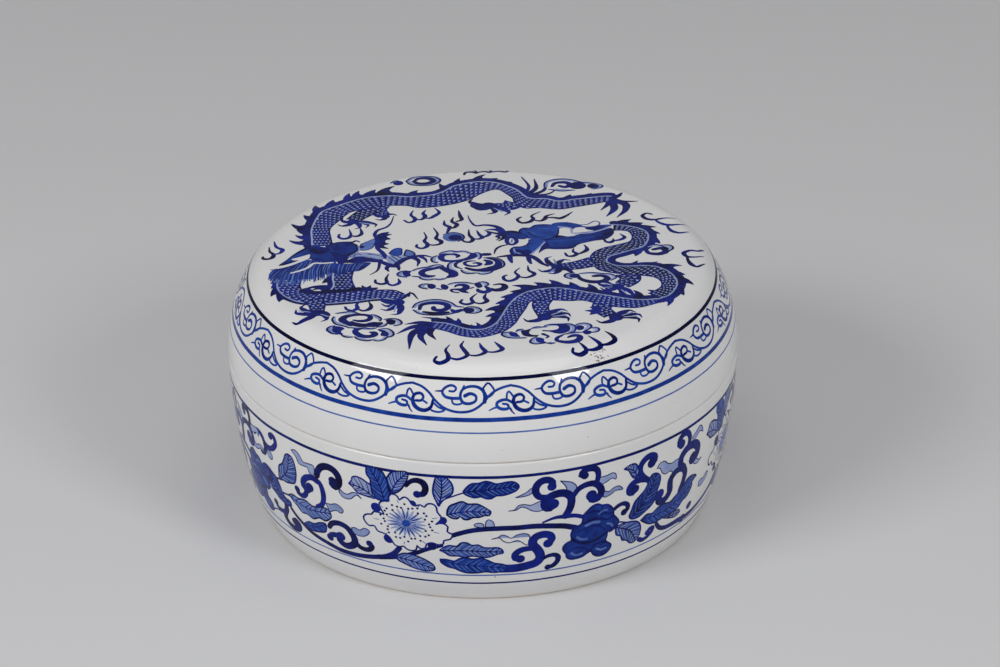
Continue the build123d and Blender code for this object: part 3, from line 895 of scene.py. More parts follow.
# Seal paste
# Cinnabar and castor oil kneaded into fine plant fibre: a soft scarlet cake, gathered up and smoothed by a
# spatula that leaves a shallow spiral ridge. It sticks to the well's floor.
paste_foot_radius, paste_swell_radius = 48.0, paste_high.x / mm - 0.5
paste_top = paste_high.z / mm - 0.6
paste_swell_height = floor_top + 5.5
paste_rings, paste_sides, bulge_share = 90, 240, 0.12


def paste_section(share):
    """Radius and height on the mound's section, from its foot (0) to its middle (1)."""
    if share < bulge_share:
        lean = share / bulge_share
        radius = paste_foot_radius + (paste_swell_radius - paste_foot_radius) * math.sin(lean * math.pi / 2)
        return radius, floor_top + (paste_swell_height - floor_top) * lean
    lean = (share - bulge_share) / (1 - bulge_share)
    rise = (1 - (1 - min(1, lean * 1.6)) ** 2.2) ** 0.8
    return paste_swell_radius * (1 - lean**1.35), paste_swell_height + (paste_top - paste_swell_height) * rise


paste_points, paste_faces = [], []
for i in range(paste_rings):
    share = i / paste_rings
    radius, height = paste_section(share)
    for j in range(paste_sides):
        angle = 2 * math.pi * j / paste_sides
        fading = max(0.0, min(1.0, (1 - radius / paste_swell_radius) * 4))
        ridge = 0.55 * math.sin(radius / 4.6 * math.pi - angle) * fading * min(1.0, radius / 8)
        fold = 0.8 * math.sin(3 * angle + 1.3) * math.sin(radius / 11)
        fold += 0.35 * math.sin(7 * angle + radius / 5)
        give = min(1.0, share * 6)
        r = radius - give * 0.4 * (1 + math.sin(5 * angle + 2.0) * math.cos(2 * angle))
        z = min(paste_top + 0.5, height + give * (ridge + 0.5 * fold - 0.6))
        paste_points.append((r * mm * math.sin(angle), -r * mm * math.cos(angle), max(floor_top, z) * mm))
for i in range(paste_rings - 1):
    for j in range(paste_sides):
        k = (j + 1) % paste_sides
        low, high = i * paste_sides, (i + 1) * paste_sides
        paste_faces.append((low + j, low + k, high + k, high + j))
for height, row, order in ((floor_top, 0, -1), (paste_top - 0.4, (paste_rings - 1) * paste_sides, 1)):
    paste_points.append((0, 0, height * mm))
    for j in range(paste_sides):
        k = (j + 1) % paste_sides
        paste_faces.append((row + j, row + k, len(paste_points) - 1)[::order])
paste = stand("red_paste", bpy.data.meshes.new("red_paste"))
paste.data.from_pydata(paste_points, [], paste_faces)
for face in paste.data.polygons:
    face.use_smooth = True
paste_red, tree = new_material("paste_red")
place = add(tree, "ShaderNodeTexCoord").outputs["Object"]
stretched = add(tree, "ShaderNodeMapping",
                {"Vector": place, "Scale": (1.0, 0.35, 1.0), "Rotation": (0, 0, 0.6)})
fibre = add(tree, "ShaderNodeTexNoise", {"Vector": stretched.outputs["Vector"], "Scale": 900.0, "Detail": 6.0,
                                         "Distortion": 1.4}).outputs["Fac"]
lump = noise(tree, place, 120.0, 4.0)
red = ramp(tree, lump, [(0.25, (0.36, 0.012, 0.006)), (0.5, (0.56, 0.028, 0.012)), (0.8, (0.68, 0.05, 0.02))])
rough = spread(tree, lump, 0.0, 1.0, 0.3, 0.62)
lumpy = add(tree, "ShaderNodeBump", {"Height": lump, "Strength": 0.6, "Distance": 0.0012})
fibrous = add(tree, "ShaderNodeBump", {"Height": fibre, "Strength": 0.55, "Distance": 0.0004,
                                       "Normal": lumpy.outputs["Normal"]})
surface = add(tree, "ShaderNodeBsdfPrincipled", {"Base Color": red, "Roughness": rough, "IOR": 1.48,
                                                 "Normal": fibrous.outputs["Normal"]})
add(tree, "ShaderNodeOutputMaterial", {"Surface": surface.outputs["BSDF"]})
paste.data.materials.append(paste_red)
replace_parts(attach(paste, "base"), "seal_paste")

# Lid
# The upper half, thrown and glazed like the base: rim, short skirt, round shoulder, soft edge and a nearly
# level top. Only its rim and the foot of its inner wall are bare, so that the halves don't fuse in the kiln.
box_height = lid_high.z / mm
edge_radius, edge_inset, crown_rise = 8.0, 12.65, 0.5
edge_centre = (box_radius - edge_inset, box_height - crown_rise - edge_radius)
skirt_top = joint_height + rim_round + 0.5
shoulder_rise = edge_centre[1] - skirt_top
shoulder_section_radius = edge_inset**2 + shoulder_rise**2 - edge_radius**2
shoulder_section_radius /= 2 * (edge_inset - edge_radius)
shoulder_centre = (box_radius - shoulder_section_radius, skirt_top)
shoulder_top = math.degrees(math.atan2(shoulder_rise, edge_centre[0] - shoulder_centre[0]))
crown_section_radius = edge_centre[0] ** 2 + (edge_radius + crown_rise) ** 2 - edge_radius**2
crown_section_radius /= 2 * crown_rise
crown_low = math.degrees(math.acos(edge_centre[0] / (crown_section_radius - edge_radius)))
lid_inside, ceiling, lid_round = box_radius - 4.4, box_height - 4.8, 13.5
lid_outline = [(0, ceiling, 0), (20, ceiling, 0), (40, ceiling, 0)]
lid_outline += arc((lid_inside - lid_round, ceiling - lid_round), lid_round, 90, 0, 1.0)
lid_outline += [(lid_inside, joint_height + 3.2, 0), (lid_inside, joint_height + 3.0, 1)]
lid_outline += arc((lid_inside + rim_round, joint_height + rim_round), rim_round, 180, 270, 0.15, bare=1)
rim = arc((box_radius - rim_round, joint_height + rim_round), rim_round, 270, 360, 0.12)
lid_outline += [(r, z, 1 if z < joint_height + rim_wiped else 0) for r, z, _ in rim]
lid_outline += arc(shoulder_centre, shoulder_section_radius, 0, shoulder_top, 1.0)
lid_outline += arc(edge_centre, edge_radius, shoulder_top, crown_low, 0.5)[1:]
crown = arc((0, box_height - crown_section_radius), crown_section_radius, crown_low, 90, 3.0)
lid_outline += crown[1:-1] + [(0, box_height, 0)]
lid_body = thrown("lid_porcelain", lid_outline, porcelain("lid_glaze"))
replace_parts(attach(lid_body, "lid"), "lid")

# Painting on the lid's shoulder
# A running vine of small paired curls between two ruled rings, brushed with a fine tip in one strength of
# blue. One wave, in degrees round the box and mm down from the shoulder's upper end, comes sixteen times.
# The mm down were read on a section of the drawn radius, whose upper end is drawn_top mm up along it.
drawn_radius, drawn_top, vine_swelling = 38, 22.218, 1.4
shoulder = Sheet(per_degree, -shoulder_section_radius / drawn_radius)
wave_low, wave_high = -7.5 * per_degree, 15 * per_degree
shoulder_lines = [
    ((0.45, 0.5, 0.45), [(-16, 2.3), (-13.8, 3), (-12, 4.4), (-10.5, 6.3), (-8.6, 8), (-6.5, 8.9),
     (-4.5, 9.1), (-2.5, 8.7), (-0.8, 7.6), (0.5, 6.2), (1.2, 5.2), (2.6, 3.8), (4.6, 2.8), (6.5, 2.3)]),
    ((0.4, 0.5, 0.6), [(-7.4, 3.7), (-6.3, 3.7), (-5.9, 2.9), (-6.8, 2.2), (-8.2, 2.7), (-9, 3.9),
     (-8.4, 5.1), (-7, 5.5), (-5.2, 5.5)]),
    ((0.2, 0.4), [(-10.6, 3.9), (-9.2, 3.8)]),
    ((0.7, 0.5, 0.6, 0.5, 0.6, 0.8), [(-3.9, 4.8), (-2.6, 4.2), (-1.4, 4.9), (-1.5, 6.1), (-2.8, 6.8),
     (-4.3, 6.5), (-4.9, 5), (-4.5, 3.3), (-3, 2.4), (-1, 2.5), (0.3, 3.7), (0.6, 5.2), (0.5, 6.3)]),
    ((0.35,), [(-4.4, 2.9), (-4.1, 2.2)]),
    ((0.4, 0.6, 0.6, 0.5), [(4.5, 7), (5.6, 7.3), (5.7, 8.2), (4.4, 8.4), (3.3, 7.7), (3.2, 6.8), (4.2, 6.1),
     (5.4, 6), (6.8, 6.9)]),
    ((0.25, 0.45), [(1.5, 8.6), (2.6, 8), (3.3, 7.8)]),
    ((0.45, 0.2), [(6.1, 8.3), (6.5, 9.2), (7, 9.8)]),
    ((0.4,), [(10.2, 7.2), (9.2, 6.6), (7.8, 6.8)]),
    ((0.5, 0.5, 0.6, 0.8, 0.7, 0.5), [(7.6, 6.8), (8.9, 6.6), (9.3, 5.6), (8.6, 4.8), (7.3, 5.2), (6.9, 6.3),
     (7.3, 7.9), (8.6, 9), (10.2, 9), (11.2, 8), (11.5, 6.3)]),
]
shoulder_buds = [
    [(0.2, 2.8), (1.3, 1.5), (2.1, 2.2), (2.7, 3.7), (1.3, 5.1), (0.7, 4.2)],
    [(-6.8, 5.6), (-6.5, 6.8), (-5.5, 7.1), (-4.4, 6.6), (-4.9, 5.6)],
    [(5.4, 5.9), (5.6, 4.3), (6, 3.9), (6.9, 5.2), (7.1, 5.6), (6.9, 6.6)],
    [(11.5, 6.8), (11.1, 8.7), (12.8, 9.3), (14.2, 8.7), (12.8, 8)],
]
for points in shoulder_buds:
    shoulder.edged(None, points, 0.55, "blue")
for widths, points in shoulder_lines:
    shoulder.line("blue", [vine_swelling * width for width in widths], points)
grid = [(x, y) for x in np.arange(wave_low + 0.7, wave_high, 1.5) for y in np.arange(-10.7, -0.6, 1.5)]
shoulder_up = drawn_top * shoulder_section_radius / drawn_radius
for pigment, (places, triangles, loads) in shoulder.films(grid, wave_low, wave_high).items():
    flat = flat_mesh("shoulder_" + pigment, places + (0, shoulder_up), triangles, loads)
    piece = band("shoulder_" + pigment, flat, cobalts[pigment], 16, wave_high - wave_low, shoulder_centre,
                 shoulder_section_radius, wobble=0.3)
    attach(piece, "lid")

# Rings on the lid
# A heavy dark ring on the soft edge of the top, a strong one under the vine and a faint one above the skirt.
for name, up, width, pigment, centre, section_radius in (
        ("edge_ring", 4.75, 0.95, "pooled", edge_centre, edge_radius),
        ("shoulder_ring", 11.06, 1.15, "blue", shoulder_centre, shoulder_section_radius),
        ("skirt_ring", 7.55, 0.42, "wash", shoulder_centre, shoulder_section_radius)):
    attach(ring(name, up, width, pigment, centre, section_radius), "lid")

# Painting on the top
# Two dragons chase a flaming pearl among clouds and tongues of fire. Places are in mm from the middle of the
# top, x to the right and y to the back; the sheet is laid over the nearly level crown and the soft edge.
top = Sheet(step=0.6)


def serpent(pairs, pitch, columns, barbs=(), fin=2.3):
    """A length of scaled body between (outer x, outer y, inner x, inner y) pairs.

    Its spine fin, if it has one, has barbs that go to the given tips and lean along the body.
    """
    path = eased(pairs, step=0.7)
    outer, inner = path[:, :2], path[:, 2:]
    cut = []
    for i in range(len(path) - 1):
        cut += [(outer[i], inner[i], inner[i + 1]), (outer[i], inner[i + 1], outer[i + 1])]
    away = outer - inner
    away /= np.linalg.norm(away, axis=1)[:, None]
    if len(barbs):
        edge = outer + away * fin / 2
        top.line("ink", fin + 0.3, edge[::3])
        for tip in np.array(barbs, float):
            near = int(np.argmin(np.linalg.norm(edge - tip, axis=1)))
            root, heel = edge[max(0, near - 8)], edge[min(len(edge) - 1, near + 2)]
            back = (root - heel) / max(np.linalg.norm(root - heel), 1e-6)
            tall = np.linalg.norm(tip - edge[near])
            top.fill("ink", [root, (root + tip) / 2 + back * 0.15 * tall + away[near] * 0.2 * tall, tip,
                             (heel + tip) / 2 + back * 0.3 * tall, heel, edge[near] - away[near] * 0.6])
            bend = (root + heel) / 4 + tip / 2 + back * 0.1 * tall
            top.line("ink", (1.0, 0.6, 0.25), [edge[near], bend, tip])
    top.strokes.append(("ink", cut))
    middle = (outer + inner) / 2
    along = np.concatenate([[0], np.cumsum(np.linalg.norm(np.diff(middle, axis=0), axis=1))])
    steps = np.arange(len(path))
    for row in range(int(along[-1] / pitch)):
        for column in range(columns):
            v = (column + 0.35 + 0.5 * (row % 2)) / (columns + 0.2)
            lens = []
            for du, dv in ((-0.3, -0.4), (0.36, 0), (-0.3, 0.4), (-0.14, 0)):
                at = np.interp((row + 0.8 + du) * pitch, along, steps)
                low = min(int(at), len(path) - 2)
                share = at - low
                ends = path[low] * (1 - share) + path[low + 1] * share
                w = v + dv / (columns + 0.2)
                lens.append(ends[:2] * (1 - w) + ends[2:] * w)
            top.strokes.append(("tint", [(lens[0], lens[1], lens[3]), (lens[1], lens[2], lens[3])]))
    top.line("ink", 0.5, inner[::3])
    top.line("ink", 0.5, outer[::3])
    if len(barbs):
        top.line("tint", 0.5, outer[::3])


def limb(points, widths):
    """A scaled leg along a line."""
    widths = np.interp(np.linspace(0, 1, len(points)), np.linspace(0, 1, len(widths)), 1.2 * np.array(widths))
    centre = eased(np.column_stack([points, widths]), step=1.5)
    ahead = np.gradient(centre[:, :2], axis=0)
    ahead /= np.linalg.norm(ahead, axis=1)[:, None]
    side = np.stack([-ahead[:, 1], ahead[:, 0]], axis=1) * centre[:, 2:] / 2
    serpent(np.hstack([centre[:, :2] + side, centre[:, :2] - side]), 1.3, 3)


def foot(x, y, tips, width=1.3):
    """A foot: toes from the ankle to the tips, a hooked claw on each, and pale lines between near ones."""
    ankle, tips = np.array((x, y)), np.array(tips)
    top.dab("ink", x, y, width * 1.5)
    for tip in tips:
        ahead = tip - ankle
        turned = np.array((ahead[1], -ahead[0])) / np.linalg.norm(ahead)
        claw = tip - ahead * 0.12
        top.line("ink", (1.4 * width, 1.6 * width, 1.5 * width, 1.1 * width),
                 [ankle, ankle + ahead * 0.5 - turned * 0.6, claw])
        top.line("ink", (width, 0.7 * width, 0.25), [claw, tip + turned * 0.5, tip + turned * 1.8 * width])
    for one, other in zip(tips, tips[1:]):
        if np.linalg.norm(one - other) < 0.8 * np.linalg.norm(one - ankle):
            between = (one + other) / 2 - ankle
            top.line("tint", (0.3, 0.5, 0.4), [ankle + between * share for share in (0.35, 0.65, 0.95)])


def flames(*tongues):
    """Tongues of fire, each begun with a small curl, swollen in the middle and flicked off to a point."""
    for points in tongues:
        top.line("ink", (0.7, 1.0, 1.4, 1.05, 0.3), points)


def strokes(pigment, *marks):
    """Free strokes of one pigment, each as (widths, points)."""
    for widths, points in marks:
        top.line(pigment, widths, points)


def hair(pigment, width, roots, tips, count, sway=0.6):
    """Fine hairs from one line to another."""
    roots, tips = (eased(line, step=0.3) for line in (roots, tips))
    for k in range(count):
        share = (k + load_picks.uniform(-0.3, 0.3)) / (count - 1)
        share = min(1.0, max(0.0, share))
        start, end = roots[int(share * (len(roots) - 1))], tips[int(share * (len(tips) - 1))]
        end = start + (end - start) * load_picks.uniform(0.82, 1.12)
        across = np.array((end[1] - start[1], start[0] - end[0])) * 0.1 * sway
        top.line(pigment, (width, width, width * 0.5), [start, (start + end) / 2 + across, end])


# The back dragon: tail, hind feet, long body over the back of the top, then the near coil, feet and head.
strokes("ink",
    ((2.0, 1.5, 0.3), [(37, 38), (39.6, 36.5), (44, 36.6)]),
    ((2.6, 2.4, 0.3), [(37, 37), (40.4, 34.5), (40.2, 30.4), (37.8, 25.7)]),
    ((2.4, 2.2, 0.3), [(36.6, 36.6), (37.2, 31.6), (34.9, 26.3)]),
    ((2.0, 1.6, 0.3), [(36, 36.6), (35.5, 34.5), (33.4, 30.4)]),
    ((2.4, 1.6, 0.4), [(36.6, 38.6), (38.6, 40.4), (39.8, 42.6)]))
limb([(-28.4, 36), (-29, 32), (-27.2, 28)], (4.4, 3.0))
limb([(-30, 33.6), (-33.4, 29.4), (-36, 25.4)], (4.6, 3.2))
foot(-36, 24.6, [(-31.3, 22.3), (-29.2, 22.8), (-38.6, 21.6), (-39.2, 25.4), (-33.6, 20.8)], 1.1)
foot(-27, 27.6, [(-30.6, 29.6), (-24.8, 29.4), (-28.2, 25.2)], 0.9)
limb([(9.4, 36), (7.6, 33.4), (3.4, 33.6)], (5.0, 3.2))
foot(2, 34, [(-3.6, 36.5), (-0.6, 31.2), (4, 29.4), (8, 29.6), (-2.6, 33.2)], 1.5)
strokes("ink",
    ((1.6, 0.4), [(12, 42), (13.4, 47), (11.4, 54)]),
    ((1.8, 1.4, 0.3), [(13, 41.6), (15.4, 46), (15, 52.4)]),
    ((1.6, 1.2, 0.3), [(14, 41), (17.6, 44.4), (18.4, 50)]),
    ((1.4, 0.3), [(14.6, 40.8), (19, 42), (21.4, 45.4)]))
serpent(
    [(-46.6, 9, -41, 9), (-46.9, 14, -41.7, 14), (-47.2, 20, -42.2, 20), (-46, 27.8, -39.8, 25.7),
     (-44.5, 32.2, -38.2, 29), (-40.4, 35.7, -36.6, 31.3), (-35.7, 39.2, -32.8, 32.8),
     (-32.2, 41, -29.5, 34.2), (-25.7, 41.9, -26.2, 35.1), (-21, 41, -21, 34.8), (-17.3, 41.4, -18, 33.4),
     (-13.6, 42.2, -14, 33.6), (-10.7, 44.5, -9.8, 34.8), (-7.8, 48.1, -6.3, 36.4), (-3.9, 50.1, -3.4, 38.6),
     (0.2, 51, -0.4, 42.2), (4, 50.1, 2.9, 45), (6.9, 48.1, 4.9, 45.1), (10.2, 44.5, 7.2, 41.9),
     (11.9, 41, 8.9, 38.8), (13, 39.4, 9.4, 35.8), (15, 38.6, 12, 32.2), (18, 38.6, 15.8, 32.3),
     (21.9, 36.8, 21.9, 31.3), (26, 38, 26.4, 32.8), (30.8, 39.2, 30.8, 34.5), (34.6, 40.1, 34.3, 36),
     (37.5, 40, 37, 37)], 1.6, 5,
    [(-53.1, 13.2), (-51.6, 16.6), (-53, 24), (-51.4, 20.4), (-49.8, 29.8), (-46.9, 36.6), (-41.9, 39.8),
     (-37.5, 44.2), (-34.8, 45.7), (-30.1, 46.3), (-24.8, 48.6), (-18.1, 45.4), (-12, 50), (-6.3, 53.4),
     (1, 56), (4.6, 53.2), (8.8, 50.2), (25.2, 41.3), (31.1, 42.2)])
serpent(
    [(-55.2, -12.6, -49.4, -12), (-54.6, -17.5, -48.6, -17.2), (-52.5, -21.7, -47.3, -19.4),
     (-48.5, -25.2, -44.5, -20.2), (-42.2, -26.4, -41.2, -19.9), (-37.5, -26, -37.2, -19.3),
     (-33.1, -25.4, -32.6, -18.7), (-29.2, -24.4, -28.6, -19), (-24.6, -24.4, -23.4, -19.4),
     (-21.4, -26.4, -20.4, -22)], 1.4, 4,
    [(-57, -13.6), (-56.6, -16.4), (-56.4, -20.6), (-54, -24.4)], fin=1.2)
serpent(
    [(-40, -7, -34.8, -7), (-40.2, -11.4, -35.1, -12), (-39.8, -15.8, -34.4, -16), (-41, -20, -33.2, -20)],
    1.4, 4,
    [(-42.9, -14.3), (-45.6, -18.4), (-47.6, -17.4)], fin=1.6)
top.fill("ink", [(-48.4, -17.6), (-46.6, -16.8), (-45.6, -18), (-44.4, -19.3), (-43, -18.6), (-42, -16.8),
    (-40.6, -17.4), (-41.4, -20), (-44.8, -21), (-48, -20)])
top.fill("ink", [(-33.4, -19), (-32.4, -17.6), (-32.2, -15.9), (-31, -17.2), (-29.8, -16), (-29.6, -17.4),
    (-27.8, -17.6), (-28.8, -19.2)])
top.line("ink", (1.6, 2.2, 1.6), [(-48, -19), (-44, -19.8), (-40, -19.4), (-36, -18.9), (-33, -17.8)])
limb([(-45, -24), (-43.9, -27), (-43.6, -31)], (4.4, 2.8))
foot(-43.7, -31.8, [(-48.3, -28.8), (-49.2, -32), (-48.4, -36.8), (-40.3, -33), (-40.6, -35.4)])
foot(-22.4, -26.6, [(-26.8, -25.4), (-25.2, -29), (-24.8, -31.4), (-21.7, -33.4)])
strokes("ink",
    ((1.3, 0.9, 0.3), [(-21, -24), (-18.9, -21.2), (-17, -24.9)]),
    ((1.0, 0.3), [(-19.6, -23), (-19.2, -20.4)]))
# Its head, with the mane streaming to the left.
mane_roots = [(-55.4, -4.4), (-51.6, -3), (-47, -0.8), (-40.4, -1)]
mane_tips = [(-57.6, -8.6), (-56.8, -12.2), (-52.6, -13.8), (-46.4, -13), (-40.8, -9.6)]
hair("wash", 0.9, mane_roots, mane_tips, 30)
top.fill("blue", [(-55.6, -4.4), (-56.4, -7.4), (-55.6, -10.4), (-53, -11.8), (-49, -11.8), (-45.4, -10.8),
    (-42.2, -8.8), (-40.3, -8), (-39.5, -6), (-40, -1), (-44, -0.4), (-48, 0.4), (-52, -1.6)])
hair("blue", 0.7, mane_roots, mane_tips, 30)
hair("wash", 0.3, mane_roots, mane_tips, 28)
hair("ink", 0.3, mane_roots, mane_tips, 26)
top.fill("ink", [(-55.2, -2.8), (-53.4, 0.6), (-51.6, 4), (-49.4, 7.2), (-46.4, 9.8), (-45.6, 4), (-46.8, 1),
    (-50, -0.8)])
hair("blue", 0.4, [(-47.6, 7.4), (-47, 4.4)], [(-54.2, -1.6), (-51.6, -0.4)], 6, 0.3)
strokes(None, ((0.4, 1.5, 1.1, 1.0), [(-57.4, -4.4), (-55.4, -4), (-52.6, -2.6), (-50, -0.6), (-47.6, 1.4)]))
top.fill(None, [(-52, 0.9), (-49.4, 2.6), (-46.9, 3.9), (-46.8, 2.2), (-48, 0.8), (-50, 0.2)])
strokes("ink", ((0.4, 0.3), [(-57.3, -5.2), (-54.4, -5), (-51.4, -3), (-48.6, -1)]))
top.fill("blue", [(-46.6, 9.8), (-43.8, 8.6), (-42.3, 8.4), (-41, 10.3), (-38, 10.9), (-35.6, 10.8),
    (-34.3, 9), (-33.9, 6.6), (-34.4, 4.6), (-35.8, 2.8), (-36.4, 0.6), (-38, -1), (-40, -1.2), (-44.5, -0.6),
    (-46.8, 1), (-46.8, 5)])
top.fill("ink", [(-46.4, 9), (-43.6, 8), (-42.2, 8), (-42.4, 5), (-44, 4), (-46.4, 5)])
strokes("ink",
    ((0.8, 0.9, 0.9, 0.5), [(-42.6, 8.6), (-41.2, 10.2), (-39.5, 11), (-37, 11.2), (-35.4, 11.2),
     (-34.7, 12.1), (-33.7, 11.2)]),
    ((0.4,), [(-42.2, 8), (-41.6, 5.6), (-40, 4)]),
    ((0.5, 0.8, 0.6), [(-41, 4.8), (-39.2, 3.8), (-37.6, 2.9), (-36.2, 3.2), (-34.6, 5), (-34, 7.2),
     (-34.6, 9.4), (-35.8, 10.6)]))
top.fill("ink", [(-41, 5), (-39, 3.2), (-36.8, 2.4), (-36.6, 0), (-34, 1.8), (-30, 0.7), (-26.8, -0.8),
    (-28.6, -2), (-31, -1.7), (-34, -2.2), (-37.4, -2.2), (-38.8, -4.4), (-39.4, -1), (-40.6, 2)])
strokes(None,
    ((0.7, 0.9, 0.8, 0.7), [(-51.6, -7.5), (-49.6, -6.4), (-47.4, -4.6), (-45.6, -1.8), (-43.4, -1.9),
     (-40.6, -1.6)]))
top.fill("blue", [(-39.6, -2.4), (-37, -2.6), (-33, -2), (-30.2, -2.2), (-31.4, -5), (-33.2, -7.2),
    (-36, -7.6), (-38.6, -9.6), (-40.2, -8), (-39.8, -5)])
hair("ink", 0.28, [(-39.2, -2.6), (-31, -2.2)], [(-39.6, -9), (-33.2, -7)], 9, 0.4)
hair("wash", 0.24, [(-38.6, -3), (-32, -2.6)], [(-38.8, -8.6), (-33.6, -6.8)], 7, 0.4)
top.edged("wash", [(-33.2, 9.8), (-31.4, 11.4), (-29.4, 13), (-29.4, 10), (-30.2, 7), (-31.8, 5.8),
    (-33.4, 6)], 0.35)
top.dab("ink", -33, 7.9, 0.85)
strokes("tint", ((0.4,), [(-34, 9), (-33.6, 6.4), (-34.4, 3.6), (-36.2, 1.8)]))
top.edged("tint", [(-34.6, 4.2), (-32, 4.2), (-29, 3.4), (-27, 2.8), (-26.4, 0.6), (-28, -0.2), (-31, 1.4),
    (-33.6, 1.9), (-36, 1.4)], 0.3, "wash")
strokes("ink",
    ((0.4,), [(-35, 2), (-34.2, 3.4), (-33, 3)]),
    ((0.35,), [(-31, 3.2), (-29, 2.6), (-27.2, 1.6)]))
top.fill("ink", [(-28.9, 8), (-28.6, 13), (-28.9, 15.6), (-27.4, 17), (-25.5, 17.3), (-26, 16.2),
    (-24.8, 15.9), (-26.2, 14.4), (-25, 12.6), (-26.4, 12), (-26.4, 10.4), (-25.4, 9.6), (-26.9, 8.4),
    (-25.5, 6.5), (-27.4, 6.8)])
strokes("ink",
    ((1.5, 1.3, 1.1, 1.1, 0.8, 0.3), [(-26, 0.6), (-27.2, 4), (-28.6, 7), (-28.8, 10), (-29, 13), (-29.6, 16),
     (-28.8, 18.6), (-26.6, 20.4), (-25.4, 22.8), (-24.6, 27.8)]),
    ((0.9, 0.8, 0.3), [(-27.8, -2.5), (-27.9, -5), (-28.4, -7.4), (-30.2, -9.7)]))
top.fill("tint", [(-25.6, 2), (-22, 2.6), (-20.6, 1.4), (-22.4, -2), (-24, -3.4), (-25.8, -1.4)])
strokes("ink",
    ((0.35,), [(-25.4, 1.2), (-23.4, -2.2)]),
    ((0.35,), [(-24.6, 1.8), (-22.6, -1.2)]),
    ((0.35,), [(-23.4, 2), (-21.6, 0)]))
top.edged("blue", [(-25.3, 3.4), (-24.6, 5.2), (-23.4, 6.6), (-22.2, 6.5), (-21.9, 4.6), (-22.2, 2.4),
    (-23.8, 2)], 0.5)
top.edged("wash", [(-20.6, 5.6), (-19, 4.4), (-18.3, 2.4), (-19.4, 1.4), (-21, 1.8), (-21, 3.8)], 0.55)
strokes("ink",
    ((1.4, 1.9, 1.9, 1.5, 0.6), [(-30, -0.6), (-27.4, -1.8), (-25.2, -3.8), (-23.8, -4.6), (-22.6, -2.6),
     (-21, -0.4), (-19.2, 0.7), (-17.6, 1.5), (-15.6, 1.7), (-13.9, 0.8)]),
    ((1.6, 1.2, 0.5), [(-24.9, -3.6), (-25.8, -6), (-25.2, -7.7)]),
    ((1.6, 1.2, 0.5), [(-23.2, -3.6), (-22.6, -5.6), (-22.4, -7.2)]),
    ((1.8, 1.2, 0.3), [(-18.6, 0.6), (-17.2, -1.6), (-17.5, -4.9)]),
    ((1.4, 0.9, 0.3), [(-16.6, 1), (-15.4, -0.6), (-14.9, -2.7)]))

# The front dragon: tail, hind legs, the long low body, the coil on the right, then neck, foreleg and head.
strokes("ink",
    ((2.4, 1.8, 0.3), [(-13, -39.6), (-16.4, -38.6), (-20.2, -39.4)]),
    ((2.6, 2.0, 0.3), [(-14, -40.4), (-18, -41), (-22.3, -44.8)]),
    ((2.8, 2.2, 0.3), [(-14.4, -41), (-18, -44.6), (-18.9, -53.4)]),
    ((2.4, 1.9, 0.3), [(-14, -41.6), (-16, -46), (-14.4, -51.4)]),
    ((2.2, 1.7, 0.3), [(-13, -41.6), (-13.6, -44.8), (-12, -48.3)]))
limb([(17, -24), (15.6, -29.5), (16.4, -35)], (4.2, 2.8))
foot(16.6, -36.2, [(20.9, -31.4), (22.6, -33.8), (22.8, -36.4), (12.2, -38.9)])
limb([(32.6, -27.6), (31.8, -31.6), (34, -35.6)], (4.6, 3.2))
foot(35.4, -36.6, [(38.9, -32.2), (41.4, -34.4), (41.4, -37), (31.7, -39.9)])
top.fill("ink", [(30.4, -30), (28.6, -30.6), (29.2, -31.8), (27.2, -32.6), (28.8, -33.6), (28.4, -35),
    (31, -34), (31.6, -31)])
serpent(
    [(48.4, -24.6, 49.4, -26.8), (46, -25.8, 46.6, -28.2), (41.1, -26.1, 41.5, -30.8),
     (36.5, -24.8, 36.5, -30.6), (33.7, -23.7, 32.5, -29.4), (28.7, -21.9, 27, -26.6), (24, -20, 23.5, -26.8),
     (20, -19, 19.8, -26.4), (15.4, -19.8, 17, -26.2), (11.8, -21.6, 14.6, -26.2), (9.2, -24.7, 12.7, -27.4),
     (7.2, -29, 11.6, -31), (5.2, -35.5, 9.9, -35.9), (3.7, -39.6, 8.4, -40.3), (1.2, -42.3, 5.3, -44.5),
     (-2.2, -43, -0.6, -47.4), (-5.1, -41.9, -5.3, -46.4), (-7.5, -40.2, -8.8, -44),
     (-9.8, -39, -11.3, -42.6), (-12.6, -38.4, -13.8, -41.6)], 1.35, 4,
    [(44.4, -20.4), (40.6, -20.6), (37.2, -21.8), (33, -19), (28.6, -16.8), (23.6, -15.6), (18.1, -14.2),
     (14, -15.8), (8.2, -17.5), (7.6, -21.1), (5, -24.6), (3.6, -28.4), (0.9, -32.2), (1, -35.8), (-1.5, -39),
     (-2.8, -40.2), (-6.3, -36.4), (-9.4, -35.3), (-12.1, -35.8), (-15.9, -35.4)])
limb([(39.4, -10.6), (40, -14), (37.6, -17.6)], (5.2, 3.6))
foot(36.4, -18.4, [(33, -14.8), (31.4, -17.2), (33, -20.8), (37.4, -23.6), (40.6, -23)], 1.2)
